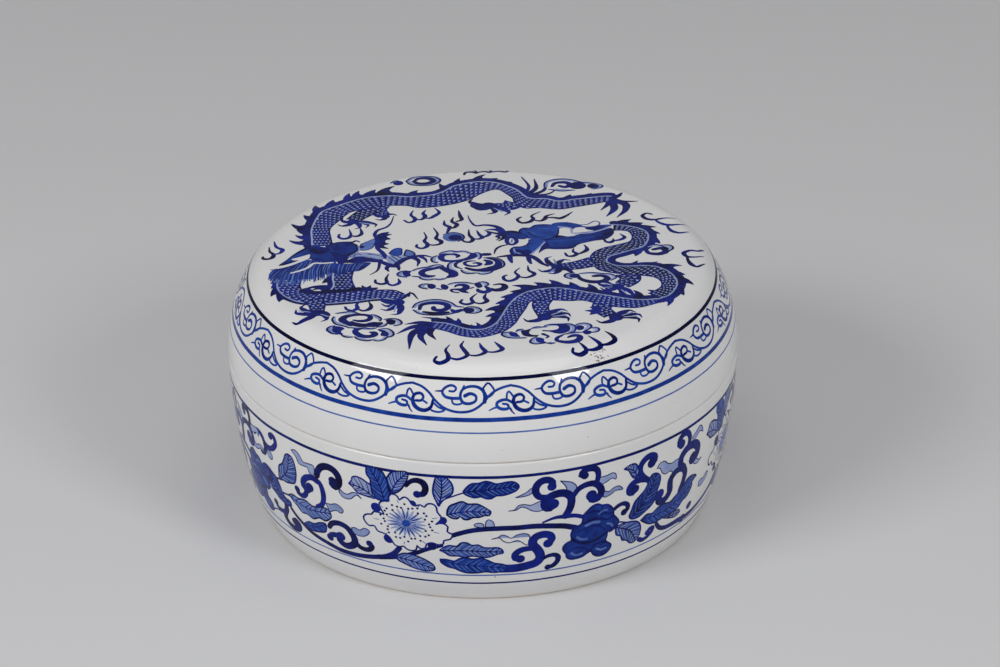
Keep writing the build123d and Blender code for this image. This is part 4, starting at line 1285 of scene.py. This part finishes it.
serpent(
    [(36.6, 20.8, 36.4, 17), (40, 20.2, 38.9, 17), (44.3, 17.8, 40.8, 16), (45.9, 14.5, 41.6, 12.8),
     (45.5, 9.8, 40.8, 9.8), (44, 6.3, 38.4, 8.2), (40.8, 4.2, 35.5, 6.7), (37.8, 2.2, 32.9, 5.2),
     (35, 0.4, 30.6, 2.6), (34, -1.8, 29.6, -1), (34.4, -3.8, 30.4, -4.9), (37, -5.6, 31.6, -8),
     (40.5, -5.8, 34.4, -9.6), (44, -5.5, 38.6, -11), (47.2, -6.1, 43, -11.6), (50.2, -8.7, 46, -12.4),
     (51.9, -12.2, 47.6, -13.8), (52.5, -16.1, 48.4, -16.2), (51.6, -20.2, 48, -18.8),
     (49.8, -23.6, 46.2, -21), (47, -25.8, 44.6, -22.6)], 1.35, 4,
    [(41.6, 24.2), (44.9, 21.9), (48.4, 19.2), (49.3, 14.8), (49, 8.4), (41.9, 0.4), (42.5, -2.5),
     (47.8, -3.1), (54.3, -5.5), (54.9, -11.1), (56.9, -16.9), (53.9, -23.4), (49.3, -29.9)])
limb([(30.4, -3), (26, -5.2), (21.6, -6.4)], (4.6, 3.2))
foot(20.6, -6.4, [(17.2, -1), (22, -1.6), (16.6, -9.4), (20, -10.4), (24.6, -9.6)], 1.2)
# Its head faces left, with the mane swept back over the neck.
top.fill("ink", [(16.6, 11.8), (20.4, 14), (24.6, 13), (27, 14.6), (30.2, 15.2), (33.7, 17.3), (35.9, 18.6),
    (36.6, 15.4), (34.3, 11.3), (30.8, 10.1), (26.6, 7.8), (24.9, 5.4), (20.5, 4.8), (17.6, 5), (15.6, 2.6),
    (16.6, 8)])
hair("blue", 0.5, [(18, 11.6), (19, 6)], [(35.6, 16.6), (25.6, 7)], 11, 0.3)
top.fill("blue", [(19.6, 21.5), (23.4, 22.5), (27.7, 20.7), (29.8, 19.4), (33, 20.6), (36.2, 20.6),
    (34.6, 18.6), (31, 16.4), (26, 15), (25, 18.2), (22, 18.6), (20, 16)])
top.fill("ink", [(28.8, 18), (31.4, 19.8), (34.2, 19.8), (33, 18), (30.6, 17.2)])
top.fill(None, [(25.4, 15.6), (28.4, 15.9), (31, 16.8), (29, 17.7), (28.4, 19), (25.8, 18.6)])
strokes("tint",
    ((0.7, 0.6), [(21.4, 19.4), (24.6, 18.4), (25.2, 15), (27.6, 15.1), (30.2, 15.6), (33.7, 17.7),
     (35.9, 19.8)]))
top.edged(None, [(27, 20.6), (29.2, 20.9), (31.6, 23.2), (32.8, 22), (32.4, 20.4), (30.4, 19.4),
    (28.4, 19.5)], 0.42, "blue")
top.fill("blue", [(10.6, 15.8), (10.8, 17.8), (11.8, 18.6), (13.6, 18.8), (14.8, 20.4), (17.2, 20.9),
    (20, 20.6), (21.4, 18.4), (21, 14.4), (19.4, 11.8), (16, 11), (13, 11.8), (11.6, 13.4)])
strokes("ink",
    ((0.6, 0.7, 0.4), [(10.4, 14.6), (10.6, 17.4), (11.6, 18.7), (13.4, 18.7), (14.8, 20.5), (17.2, 21),
     (20.2, 20.6)]),
    ((0.4,), [(12, 18), (13, 15.6), (14.4, 13.4), (17.4, 12)]),
    ((0.7, 0.4), [(16.8, 10.8), (19.4, 12), (21, 14.6), (21.2, 17.8)]))
strokes("wash", ((0.5, 0.3), [(12, 16.8), (13.4, 16.4), (14.8, 14.8)]), ((0.4,), [(16, 18.6), (18.4, 18.4)]))
top.fill("blue", [(12.9, 11.2), (17.6, 10.4), (17, 8.3), (14.8, 3.6), (13.2, 1.2), (10.6, 2.2), (8.4, 2),
    (8, 4.6), (8.8, 6.2), (10.8, 6.5), (12.2, 7.6), (12.9, 9.2)])
top.fill("ink", [(9.6, 5), (11.4, 4.4), (12.6, 4.8), (13.8, 3.4), (13, 1.6), (10.8, 2.2), (9.4, 3)])
strokes("ink", ((0.9, 0.7, 0.4), [(8.4, 1.6), (8, 4.4), (8.9, 6.3), (10.8, 6.6), (12.4, 7.8), (13, 9.6)]))
strokes("tint",
    ((0.35,), [(8.8, 5.4), (9.2, 3.2), (10.4, 2.4)]),
    ((0.55, 0.45), [(17.3, 9.4), (15.2, 4.8), (13, 1.1)]))
top.edged("blue", [(5.6, 16.4), (8.5, 16.6), (11, 15), (12.7, 13.4), (11.9, 11.7), (10, 11.8), (8.4, 12.2),
    (6.4, 12.6), (5.4, 14.4)], 0.4)
strokes("ink",
    ((1.4, 1.1), [(5.8, 16.2), (8.6, 16.5), (10.6, 15.6)]),
    ((2.2, 1.6, 1.1, 0.8, 0.3), [(5.8, 16), (5, 18.6), (3.4, 20.3), (0.8, 21), (-1.6, 20.6), (-2.9, 23),
     (-3.9, 27.4)]),
    ((2.0, 1.3, 0.3), [(6, 15.8), (4.4, 17.6), (2.6, 18), (0.7, 17.4)]),
    ((1.8, 1.1, 0.3), [(6, 15), (3.6, 15.6), (1.6, 17)]),
    ((1.6, 1.0, 0.3), [(6, 14.4), (4.2, 13.4), (4.9, 12.4), (4, 11)]),
    ((1.6, 1.0, 0.3), [(6.4, 13.4), (5.6, 11.6), (4.6, 10.4)]),
    ((1.4, 1.1, 1.3), [(7.2, 12.4), (6.9, 10.6), (7.3, 8.7), (8.4, 8), (9.5, 9.4), (9.5, 11.2), (8.9, 12.6)]),
    ((0.5, 1.0, 0.3), [(7.4, 8.2), (5.4, 7.2), (4, 5.4), (3.4, 2.3)]),
    ((0.6, 1.5, 1.7, 1.6, 0.8), [(4.3, 0.2), (6, 0.7), (8.4, 1.2), (11, 1.2), (13.6, 0.4), (15, -1.4),
     (16.4, -4), (17.9, -5.7)]),
    ((1.7, 1.4, 0.7), [(7.6, 0.8), (7.8, -1.4), (8.2, -3.4)]),
    ((1.5, 1.3, 0.8), [(12.8, 0.4), (12.9, -2), (13.4, -4)]))
strokes("wash", ((0.5, 0.4), [(8.2, 9.6), (8.4, 11.4)]))

# The pearl and the fire round it.
top.dab("wash", -7.8, 13.4, 3.0)
top.dab("ink", -7.3, 13, 1.9)
strokes("ink", ((0.4, 0.6), [(-10.6, 15), (-8, 16.4), (-5.4, 15), (-4.9, 12.4), (-6.4, 10.6)]))
flames(
    [(-17.8, 8.8), (-17.9, 7.4), (-16.6, 6.3), (-15.2, 7.2), (-14.9, 9), (-15.8, 11), (-15.3, 13.4),
     (-16, 16.8)],
    [(-14.9, 8.8), (-13.1, 8.3), (-11.3, 9.2), (-11.2, 10.8), (-12.6, 12.6), (-12.2, 15.4), (-13.4, 19.6)],
    [(-9.6, 16.2), (-9.2, 18), (-8.9, 19.9), (-10.3, 21.6), (-10.4, 24.4)],
    [(-9, 19.4), (-7.8, 19.4), (-6.9, 21.6), (-8.3, 23.6), (-7.9, 26.4)],
    [(-7, 23.6), (-5.6, 24.6), (-6, 27.2), (-6.5, 31)],
    [(-5.6, 11.8), (-4.6, 10.2), (-3.2, 10), (-2.4, 11.6), (-3.4, 14.4), (-3.6, 18.2)],
    [(-2.4, 12), (-0.8, 11.9), (0.2, 12.9), (-0.6, 14.6), (-1.4, 17.6)],
    [(0, 12.8), (1.4, 13.8), (2.2, 15.2), (1.2, 17)])
# Tongues of fire between the dragons.
flames(
    [(-60, 4), (-59.8, 2.8), (-58.6, 1.7), (-57.3, 2.4), (-57, 4.4), (-58.1, 6.3), (-58.5, 9.7)],
    [(-57, 4.4), (-55.3, 5.2), (-54.7, 7.3), (-56.4, 9), (-57.3, 13)],
    [(-39.4, 16.4), (-39.5, 14.6), (-38.1, 13.4), (-36.6, 14.2), (-36.2, 16), (-36.8, 19.6)],
    [(-36.2, 15.4), (-34.6, 14.9), (-33.3, 16.3), (-33.8, 20.6)],
    [(-28.7, -12.9), (-28.5, -14.6), (-26.9, -15.5), (-25.6, -14.8), (-25.8, -12.4), (-25.2, -9.4)],
    [(-25.6, -14.8), (-24, -16.4), (-22.2, -15), (-22.5, -12.3)],
    [(-36.3, -28.7), (-35.8, -30.2), (-34.2, -31), (-33, -29.4), (-33.3, -27.6), (-32.2, -25.3)],
    [(-33, -30), (-31.4, -31.2), (-29.8, -30.2), (-29.4, -28.4), (-30.1, -25.9)],
    [(-21.6, 24.9), (-20.4, 23.4), (-19, 24), (-18.6, 25.9), (-19.8, 28.4), (-19.2, 31.5)],
    [(-18.6, 25.4), (-16.9, 25.2), (-15.8, 27.4), (-16.4, 29.4), (-15.7, 31.6)],
    [(-16, 26.4), (-14.6, 26), (-13, 27.8), (-11.9, 29.8), (-13.2, 33)],
    [(10.9, 26), (9.9, 24.4), (11.2, 22.2), (13.4, 22.9), (14.4, 25), (13.9, 26.8), (16.4, 29.7)],
    [(14.2, 24.2), (16.4, 23.4), (17.8, 25.2), (18, 26.6), (20.4, 28.2)],
    [(18.2, 25.6), (20, 25.6), (21.8, 25.1), (23.4, 26.5), (25.4, 29.4)],
    [(47.6, 27.7), (46.2, 28.4), (44.9, 26.8), (46, 24.6), (48.3, 24.1), (50.4, 25), (54, 25.4)],
    [(48.3, 24.1), (49.2, 22.4), (51.1, 20.8), (53.4, 20.7), (56.9, 22.1)],
    [(51.5, 20.6), (51.9, 18.2), (53, 16.2), (55, 15.4), (57.5, 16.7)],
    [(60.6, 5.6), (59, 4), (57, 4), (55.2, 2.4), (56, 0.2), (58, -0.1), (60.6, 1.4)],
    [(56, 0.2), (56.2, -2.4), (57, -4.8), (58.2, -6), (60.7, -3)],
    [(22.8, 2.4), (23.4, 0.6), (24.6, 0.4), (26, 1.8), (25, 3.4), (25.2, 5.3)],
    [(25.6, 1.4), (27.2, 2.4), (28.7, 4.2), (28.8, 5.6), (28.1, 7.7)],
    [(33.7, 11.2), (34.2, 9.6), (35.3, 9.2), (36.2, 10.2), (36.2, 11.6)],
    [(36.2, 10.2), (38, 10.8), (39.4, 12.4), (38.2, 14.8)],
    [(6.7, -11.1), (5.9, -11.9), (6.1, -13.8), (7.3, -14.7), (9, -13.7), (9.9, -11.6), (9, -9.3),
     (10.3, -6.7)],
    [(9.8, -12), (11.9, -12.7), (14, -11.2), (14.2, -10.2), (12.8, -8.4), (12.5, -5.3)],
    [(-5.2, -25.6), (-5.7, -27.2), (-4.1, -28.4), (-2.4, -27.4), (-2.8, -24.9), (-1.3, -22)],
    [(-2.4, -27.2), (-0.2, -28), (1.4, -26.6), (0.7, -24.4), (1.2, -22)],
    [(-11.7, -57.6), (-12.3, -59), (-10.9, -59.9), (-8.8, -58.9), (-8.8, -56.8), (-9.4, -54.2),
     (-8.4, -51.4)],
    [(-8.6, -58.2), (-6.2, -59), (-3.8, -57.4), (-4.6, -54.4), (-5.4, -51.9), (-4.7, -49.4)],
    [(-3.9, -57), (-1.4, -57.5), (0.9, -55.6), (-0.1, -52.9), (-0.6, -50.6)],
    [(0.9, -55.4), (3.2, -55.7), (5.3, -54.2), (4.4, -52), (3.3, -50)],
    [(23.7, -53.7), (23.6, -55.3), (25.4, -55.7), (27.1, -54), (26.2, -52.2), (25.1, -50.3)],
    [(27, -53.8), (29, -53.4), (30.9, -51.7), (29.4, -49.2), (27.8, -47)],
    [(30.8, -51.4), (32.9, -50.6), (34.7, -48.6), (33.7, -46.3), (32.2, -44.4)],
    [(-5, 56), (-4.6, 57.6), (-2.6, 58), (-1.4, 57), (-2.2, 60.4)],
    [(-1.6, 57.4), (0.8, 58.2), (2.4, 57.6), (2.6, 60.8)],
    [(2.6, 57.6), (5, 58.4), (7, 57.8), (7.6, 60.2)])
# Clouds: fine outlines with a pale bleed inside them, thick spirals and commas, dark lobes and solid balls.
bleed_inset, spiral_width, comma_swelling, ball_swelling = 0.55, 1.9, 1.25, 1.15


def cloud(outlines, spirals=(), balls=(), commas=(), fills=()):
    """One cloud: its commas are (widths, points), its fills are dark lobes, its balls are (x, y, radius)."""
    for points in outlines:
        inward = np.mean(points, axis=0) - points
        inward *= bleed_inset / np.maximum(np.linalg.norm(inward, axis=1), 0.5)[:, None]
        top.line("tint", (0.8, 1.6, 0.8), points + inward)
    for points in outlines:
        top.line("ink", (0.5, 0.7, 0.5), points)
    for points in spirals:
        top.line("ink", spiral_width * np.array((0.5, 1, 1, 0.7)), points)
    for widths, points in commas:
        top.line("ink", comma_swelling * np.array(widths), points)
    for points in fills:
        top.fill("ink", points)
    for x, y, radius in balls:
        top.dab("ink", x, y, ball_swelling * radius)


cloud(
    [[(-38.6, -32.4), (-37.3, -32), (-36, -31.7), (-34.7, -31.3), (-33.7, -31.8), (-32.8, -32.6),
      (-31.7, -33.2)],
     [(-29.7, -33.7), (-28.7, -33.6), (-27.7, -34.3), (-26.9, -35.3), (-26.5, -36.3), (-26.8, -37.3)],
     [(-39.1, -34.3), (-39.5, -35.8), (-39.1, -37.4), (-38.4, -38.6), (-37, -39.4), (-35.6, -40.2),
      (-34.8, -41)],
     [(-25.7, -36.4), (-24.3, -36), (-23, -36.1), (-21.8, -36.8), (-21.2, -38), (-21.1, -39), (-21.8, -39.8),
      (-23, -40.2)],
     [(-24.8, -38.3), (-25, -39.3), (-25.7, -40.2), (-26.7, -40.7), (-27.5, -40.7)],
     [(-34.7, -40.7), (-33.5, -41.2), (-32.2, -41.6), (-30.8, -41.1), (-28.8, -41.8), (-27.7, -41.2)]],
    commas=[((0.6, 1.2, 1.3, 1.2, 1.0, 1.1, 1.5, 1.8, 1.6, 1.4), [(-33.8, -36.5), (-32.7, -37),
      (-31.3, -37.1), (-30, -36.6), (-29.4, -35.5), (-29.7, -34.3), (-30.7, -33.7), (-32.2, -33.4),
      (-34, -33.6), (-35.5, -34.1), (-36.5, -35), (-36.8, -36.2), (-36.2, -37.3), (-35.2, -38.3),
      (-34.4, -39.2)]),
     ((0.7, 1.6, 1.8, 1.6, 2.3, 2.3, 1.3), [(-34.3, -37.4), (-33.7, -38.6), (-32.3, -39.4), (-30.7, -39.6),
      (-29, -39.3), (-27.7, -39.1), (-26.7, -38.6)])],
    fills=[[(-25.3, -36.8), (-24.5, -36.3), (-23.5, -36.5), (-22.8, -37.3), (-22.7, -38.5), (-23.3, -39.5),
     (-24.3, -39.5), (-24.8, -38.5), (-25.2, -37.7)]])
cloud(
    [[(-38.8, -39.5), (-39.8, -39.8), (-40.5, -40.8), (-40.6, -41.8), (-40, -42.8), (-39.2, -43.7),
      (-37.8, -44.3)],
     [(-36.7, -44.8), (-36, -45.7), (-34.8, -46.2), (-33.7, -46.1)],
     [(-33.2, -46), (-32.7, -47), (-31.7, -47.8), (-30.5, -48.3), (-29.3, -48.4), (-28.5, -47.9)],
     [(-28.5, -47.9), (-27.5, -48.6), (-26.3, -48.5), (-25.3, -47.7), (-24.8, -46.7), (-23.8, -46.3),
      (-23.1, -45.3), (-23.2, -44), (-23.8, -42.7), (-24.7, -41.8), (-25.8, -41.7), (-27.2, -42.2)]],
    commas=[((0.7, 1.6, 1.6, 1.4, 1.5, 1.6, 1.5, 1.3, 1.3, 0.7), [(-29.2, -43.6), (-28.3, -44), (-28, -45),
     (-28.8, -45.8), (-30, -46), (-31.3, -45.7), (-32.3, -44.8), (-33, -43.7), (-33.2, -42.6), (-32.7, -41.9),
     (-31.7, -41.5)])],
    fills=[[(-39, -39.7), (-37.8, -39.8), (-36.7, -40.3), (-36, -41.3), (-36.7, -42.3), (-36.9, -43.3),
      (-36.3, -44.2), (-36.8, -44.8), (-37.7, -44.2), (-38.7, -43.3), (-39.3, -42.3), (-39.3, -41.2)],
     [(-26.8, -42.3), (-25.8, -42.5), (-24.8, -43.5), (-24.3, -44.8), (-24.5, -45.8), (-24.2, -46.5),
      (-25.3, -46), (-26.3, -45.8), (-26.5, -44.5), (-26.2, -43.7), (-27, -43)]])
cloud(
    [[(-11.6, 2.4), (-11, 3.4), (-9.8, 4.2), (-8.4, 4.5), (-7.2, 4), (-6.4, 3.8), (-5, 4.2), (-3.8, 3.6),
      (-3.2, 2.8)],
     [(-12.2, 1.5), (-13.2, 0.8), (-13.7, -0.4), (-13.5, -2), (-12.8, -2.8), (-12, -2.9)],
     [(-2, 3), (-0.8, 3), (-0.2, 1.4), (-0.4, -0.4), (-0.8, -1)]],
    commas=[((0.6, 1.1, 1.0, 0.9, 1.3, 1.5, 1.4, 1.2, 1.1, 1.1, 1.2, 1.5, 2.0, 1.6, 0.7), [(-6.8, 0.3),
      (-6.4, 1.2), (-7.2, 2.1), (-8.8, 2.3), (-10.2, 2.1), (-11, 1.2), (-11, -0.4), (-10.2, -1.6), (-8.8, -2),
      (-7, -1.9), (-5, -1.3), (-3.4, -0.3), (-2.4, 0.9), (-2.4, 2), (-2.9, 2.8)]),
     ((1.5, 2.0, 1.4), [(0.6, 1.9), (1.9, 2)])])
cloud(
    [[(0.6, -0.2), (2.4, 0), (4, -0.4), (5.4, -1.8), (6.1, -3.6), (6, -5.4), (5, -6.8), (3.8, -7.8)],
     [(3.2, -8), (2.6, -9.2), (1.2, -10.2), (-0.4, -10.3), (-1.2, -9.5)],
     [(-1.2, -9.5), (-2.8, -10), (-4.2, -9.8), (-5.2, -8.8), (-5.6, -7.6)],
     [(-7.6, -2.4), (-8.8, -3.4), (-9.2, -5.2), (-9, -6.8), (-7.6, -8), (-6.6, -9.2)]],
    commas=[((0.6, 1.1, 1.4, 1.7, 2.1, 2.4, 2.1, 1.4, 1.2, 0.9), [(1.6, -0.5), (3.4, -1.3), (4.4, -2.6),
      (4.6, -4.2), (4.1, -5.8), (2.8, -7), (1, -7.7), (-1, -7.9), (-2.8, -7.4), (-4.2, -6.4)]),
     ((0.7, 1.5, 1.7, 1.0), [(0.8, -1.7), (1.9, -2.5), (2.1, -3.6), (1.2, -4.4)]),
     ((0.4, 0.9, 1.2, 0.8, 0.8, 0.9, 0.9, 0.8, 0.7, 0.4), [(-2.4, -3.6), (-1.4, -3.3), (-0.5, -3.9),
      (-0.6, -4.8), (-1.6, -5.3), (-3.2, -5.2), (-4.4, -4.3), (-4.6, -3), (-3.4, -2.2), (-1.8, -2.1)]),
     ((0.4, 0.8, 0.8, 0.7, 0.4), [(-5.4, -2.4), (-6.6, -3), (-7.2, -4.4), (-6.8, -5.8), (-5.4, -6.8)])])
cloud(
    [[(-18.8, -7.8), (-18, -6.8), (-16.4, -6), (-14.6, -5.7), (-13.2, -4.6), (-11.4, -4.2), (-10.4, -5)],
     [(-18.8, -11), (-17, -11.4), (-16.4, -12.6), (-15, -13.4), (-13.4, -13.3), (-12.9, -12.8)],
     [(-12.9, -12.8), (-11.6, -13.5), (-10.2, -13), (-9.6, -12.5)],
     [(-20.4, -7.6), (-21.8, -8), (-22.8, -9.5), (-22.2, -11), (-20.4, -11.6)]],
    commas=[((0.7, 1.3, 1.5, 1.5, 1.5, 1.4, 1.2, 1.4, 1.6, 1.7, 2.0, 2.3, 0.9), [(-12.8, -11), (-14.2, -11.3),
     (-15.6, -10.6), (-16.3, -9.2), (-15.8, -7.8), (-14.4, -7), (-12.6, -6.3), (-11.2, -5.8), (-10.2, -6.8),
     (-9.2, -8), (-7.9, -9.2), (-7.7, -10.6), (-9.1, -12)])],
    fills=[[(-21.2, -8), (-20, -7.6), (-19, -7.8), (-19.4, -9.2), (-19.1, -10.6), (-20.2, -11.4),
     (-21, -10.6), (-21.4, -9.2)]])
cloud(
    [[(-14.4, -15.8), (-16, -16), (-16.8, -17.2), (-16, -18.4), (-14.6, -19)],
     [(-12.2, -18.6), (-10.8, -19.4)],
     [(-9, -16.4), (-8, -15.6), (-6.4, -15.3), (-4.8, -15.2), (-3.2, -15.6), (-2.2, -16.2)],
     [(-0.8, -15.3), (0.4, -15), (1.4, -15.6), (1.8, -16.8), (1, -17.8)],
     [(-2.2, -18.2), (-3, -19)]],
    commas=[((0.4, 0.8, 1.2, 1.5, 1.7, 1.5, 0.9, 0.7, 0.6, 0.5), [(-7.2, -17.9), (-6.8, -17.1), (-5.4, -16.7),
      (-4.3, -17.4), (-4.3, -18.8), (-5.2, -19.6), (-6.8, -19.4), (-8.2, -19.6), (-7.8, -20.8),
      (-6.2, -21.4)]),
     ((1.5, 1.3, 0.4), [(-5.4, -19.8), (-4.8, -20.7), (-3.6, -21.6)]),
     ((0.5, 0.8, 1.2, 1.6, 1.7, 1.5, 1.0), [(3.2, -17), (4.6, -16.5), (5.9, -17), (6.2, -18.4), (5.3, -19.7),
      (3.6, -20.1), (2.6, -19.4)]),
     ((0.7, 1.2, 1.4, 1.4, 1.3, 0.7), [(1, -18), (1.8, -19.2), (1.9, -20.5), (0.6, -21.3), (-0.7, -20.6),
      (-1.1, -19.5)])],
    fills=[[(-14.2, -15.8), (-13.2, -15.9), (-12.4, -16.8), (-12.4, -18.2), (-13.4, -19), (-14.4, -18.2),
      (-14.6, -16.8)],
     [(-10.8, -16.2), (-9.8, -16.4), (-9, -17.4), (-9, -18.8), (-9.6, -19.6), (-10.6, -19.2), (-11, -17.8)],
     [(-2, -15.8), (-0.8, -15.4), (0, -16.6), (0.2, -18), (-0.8, -18.8), (-1.6, -17.8)]])
cloud(
    [[(-18.4, -29.9), (-17.4, -27.4), (-14.8, -25.7), (-11.6, -25.4), (-8.4, -27), (-6.4, -29.6),
      (-4.8, -30)],
     [(-18.2, -31.2), (-16.6, -33.4), (-13, -34.4), (-9.2, -34.2), (-6.4, -33)],
     [(-5.7, -32.4), (-3.6, -29.9), (-1, -30.4), (-0.1, -32.2), (-1.6, -33.6), (-4.2, -33.4)]],
    [[(-16.5, -31), (-16, -28.4), (-12.8, -27.2), (-9.6, -28.2), (-9, -30), (-10.4, -31.6), (-12.6, -31.2),
      (-12.8, -29.8)],
     [(-15.4, -32.4), (-12.4, -33.5), (-9, -33)],
     [(-8, -31.4), (-7, -32.6), (-5.4, -31.6)]], [(-3.4, -31.9, 1.3)])
cloud(
    [[(7.8, -44.5), (6.4, -44.7), (5.5, -45), (5.2, -46), (6, -47.2), (7.4, -47.9), (9.6, -48.1),
      (11.6, -48)],
     [(9, -44.4), (9.6, -43.4), (10.8, -43.1)],
     [(13, -42.8), (13.8, -42.1), (15, -41.8), (16.2, -42)],
     [(16.2, -42), (16.8, -41), (18.2, -40.4), (20, -40.3), (21.8, -40.2), (23, -40.2), (24, -40.8),
      (24.6, -41.8), (24.6, -43.2), (24.2, -44.4), (23.2, -45.2)],
     [(24.6, -41), (25.4, -40.2), (26.8, -39.8), (28, -40.2), (28.7, -41), (28.6, -42.4), (27.8, -43.4),
      (27, -44.2)],
     [(28.8, -42.4), (29.8, -42.2), (30.6, -42.8), (30.7, -43.8), (30, -44.8), (29, -45.1)],
     [(14.4, -47.4), (13.2, -48.4), (12.6, -49.8), (12.8, -50.8), (13.8, -51.4), (15, -51.3), (16.6, -50.9)],
     [(16.6, -50.9), (18.2, -51.2), (19, -50.8)],
     [(21.6, -46), (23, -45.5), (24.6, -45), (26.2, -45)]],
    commas=[((0.9, 0.6, 0.5), [(16, -45.9), (17.4, -47.3), (16.8, -48.1)]),
     ((0.4, 0.9, 1.2, 1.3, 1.4, 1.6, 1.6, 1.3, 1.0, 0.9, 0.8, 0.4), [(22.4, -48), (23, -47.4), (23.8, -46.9),
      (25, -46.8), (25.6, -47.5), (25.4, -48.8), (24.5, -49.9), (22.6, -50.5), (20.7, -50.2), (19.5, -49.4),
      (19.7, -48), (20.6, -47), (21.4, -46.2)])],
    fills=[[(7, -45.2), (8, -44.6), (9, -45), (9.6, -46.4), (10, -47.2), (8.8, -47.4), (7.6, -46.8)],
     [(10.4, -43.8), (11.8, -43.4), (12.8, -42.8), (12.9, -43.4), (12.4, -44.6), (12.6, -45.8), (13.8, -46.4),
      (15, -46.4), (14.2, -47.2), (12.4, -47.4), (11, -46.8), (10.4, -45.6)],
     [(16.8, -41), (18.2, -40.5), (20.2, -40.4), (22, -40.4), (23, -41.4), (23.2, -43.2), (22.4, -44.8),
      (20.6, -45.8), (19, -45.4), (17.8, -44.6), (15.8, -44.2), (15.8, -43.7), (17.8, -43.8), (19.4, -43.4),
      (20.2, -42.4), (19.8, -41.2), (18.2, -41)],
     [(25, -41.2), (26, -41.1), (26.8, -41.8), (26.8, -42.8), (26.2, -43.7), (25.2, -43.8), (24.8, -42.6)],
     [(26.2, -44.6), (27.2, -44), (28.4, -44.2), (28.9, -45), (28.2, -46), (27.2, -46.3), (26.6, -45.6)],
     [(14.4, -47.8), (15.6, -48), (16.3, -48.8), (16.2, -49.8), (16.8, -50.6), (15.6, -51), (14.4, -50.2),
      (14, -49)]])
cloud(
    [[(25, -9.9), (22.8, -10.6), (22.4, -12.4), (24.2, -13.8)],
     [(26.4, -10.4), (29.4, -9.8), (32.6, -10.4), (35.2, -11), (36.3, -12.8), (34.8, -14.6)]],
    [[(25.8, -11), (26.6, -13.6), (29.2, -15.4), (32.4, -15.2), (33.9, -13.4), (32.6, -11.8), (30.2, -12)]],
    [(25, -11.8, 1.2)])
cloud(
    [[(-21.6, 52), (-19.8, 54.6), (-16.4, 55.2), (-13.2, 54.6), (-11.8, 52.2), (-13.4, 49.4), (-17, 48.6),
      (-20.4, 49.6), (-21.6, 52)],
     [(-26, 50.8), (-24.6, 52.4), (-22.8, 51.6)]],
    [[(-19.4, 51.6), (-18, 53.6), (-15, 53.6), (-13.8, 51.8), (-15.4, 50.2), (-18, 50.2), (-19.4, 51.6)]],
    [(-23.8, 50.6, 1.3)])
cloud(
    [[(17.8, 46.6), (18.2, 50), (21.2, 52.2), (25.4, 52), (28.6, 50), (31, 49.6), (34, 48.8), (34.2, 46.4),
      (31.8, 45)],
     [(19, 45), (22.6, 43.8), (26.4, 44.4)]],
    [[(20, 47), (21, 49.4), (24, 49.8), (25.2, 48), (23.6, 46.6), (22.2, 47.4)]],
    [(27.2, 47.6, 2.2), (31.7, 47.3, 1.5)])
cloud(
    [[(49, 7.4), (51.6, 7.4), (52.5, 5.6), (51, 3.2)],
     [(45.2, 6.4), (47.6, 7.8), (50, 6.4)]],
    [[(45, 4.8), (45.6, 2.4), (48.4, 1.8), (50.4, 3.4), (49.2, 5.4), (47, 4.6)]], [(50, 5.2, 1.1)])


def over_top(places):
    """The place in metres and the facing of the glaze above each flat place, with the film's lift."""
    radius = np.hypot(places[:, 0], places[:, 1])
    on_crown = radius <= edge_centre[0]
    centre_radius = np.where(on_crown, 0, edge_centre[0])
    centre_height = np.where(on_crown, box_height - crown_section_radius, edge_centre[1])
    section_radius = np.where(on_crown, crown_section_radius, edge_radius)
    lean = (radius - centre_radius) / section_radius
    rise = np.sqrt(np.maximum(0, 1 - lean**2))
    reach = section_radius + film_lift
    out = (centre_radius + reach * lean) / np.maximum(radius, 1e-9)
    spots = np.column_stack([places[:, 0] * out, places[:, 1] * out, centre_height + reach * rise]) * mm
    way = lean / np.maximum(radius, 1e-9)
    return spots, np.column_stack([places[:, 0] * way, places[:, 1] * way, rise])


grid = [(x, y) for x in np.arange(-54, 55, 6.0) for y in np.arange(-54, 55, 6.0) if math.hypot(x, y) < 56]
turns = [math.tau * k / around for k in range(around)]
for radius in np.arange(57.4, 62.4, 0.5):
    grid += [(radius * math.cos(a), radius * math.sin(a)) for a in turns]
for pigment, (places, triangles, loads) in top.films(grid).items():
    mesh = flat_mesh("dragons_" + pigment, places, triangles, loads)
    spots, facings = over_top(places)
    mesh.vertices.foreach_set("co", spots.ravel())
    mesh.normals_split_custom_set_from_vertices(facings.tolist())
    mesh.materials.append(cobalts[pigment])
    piece = stand("dragons_" + pigment, mesh)
    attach(piece, "lid")
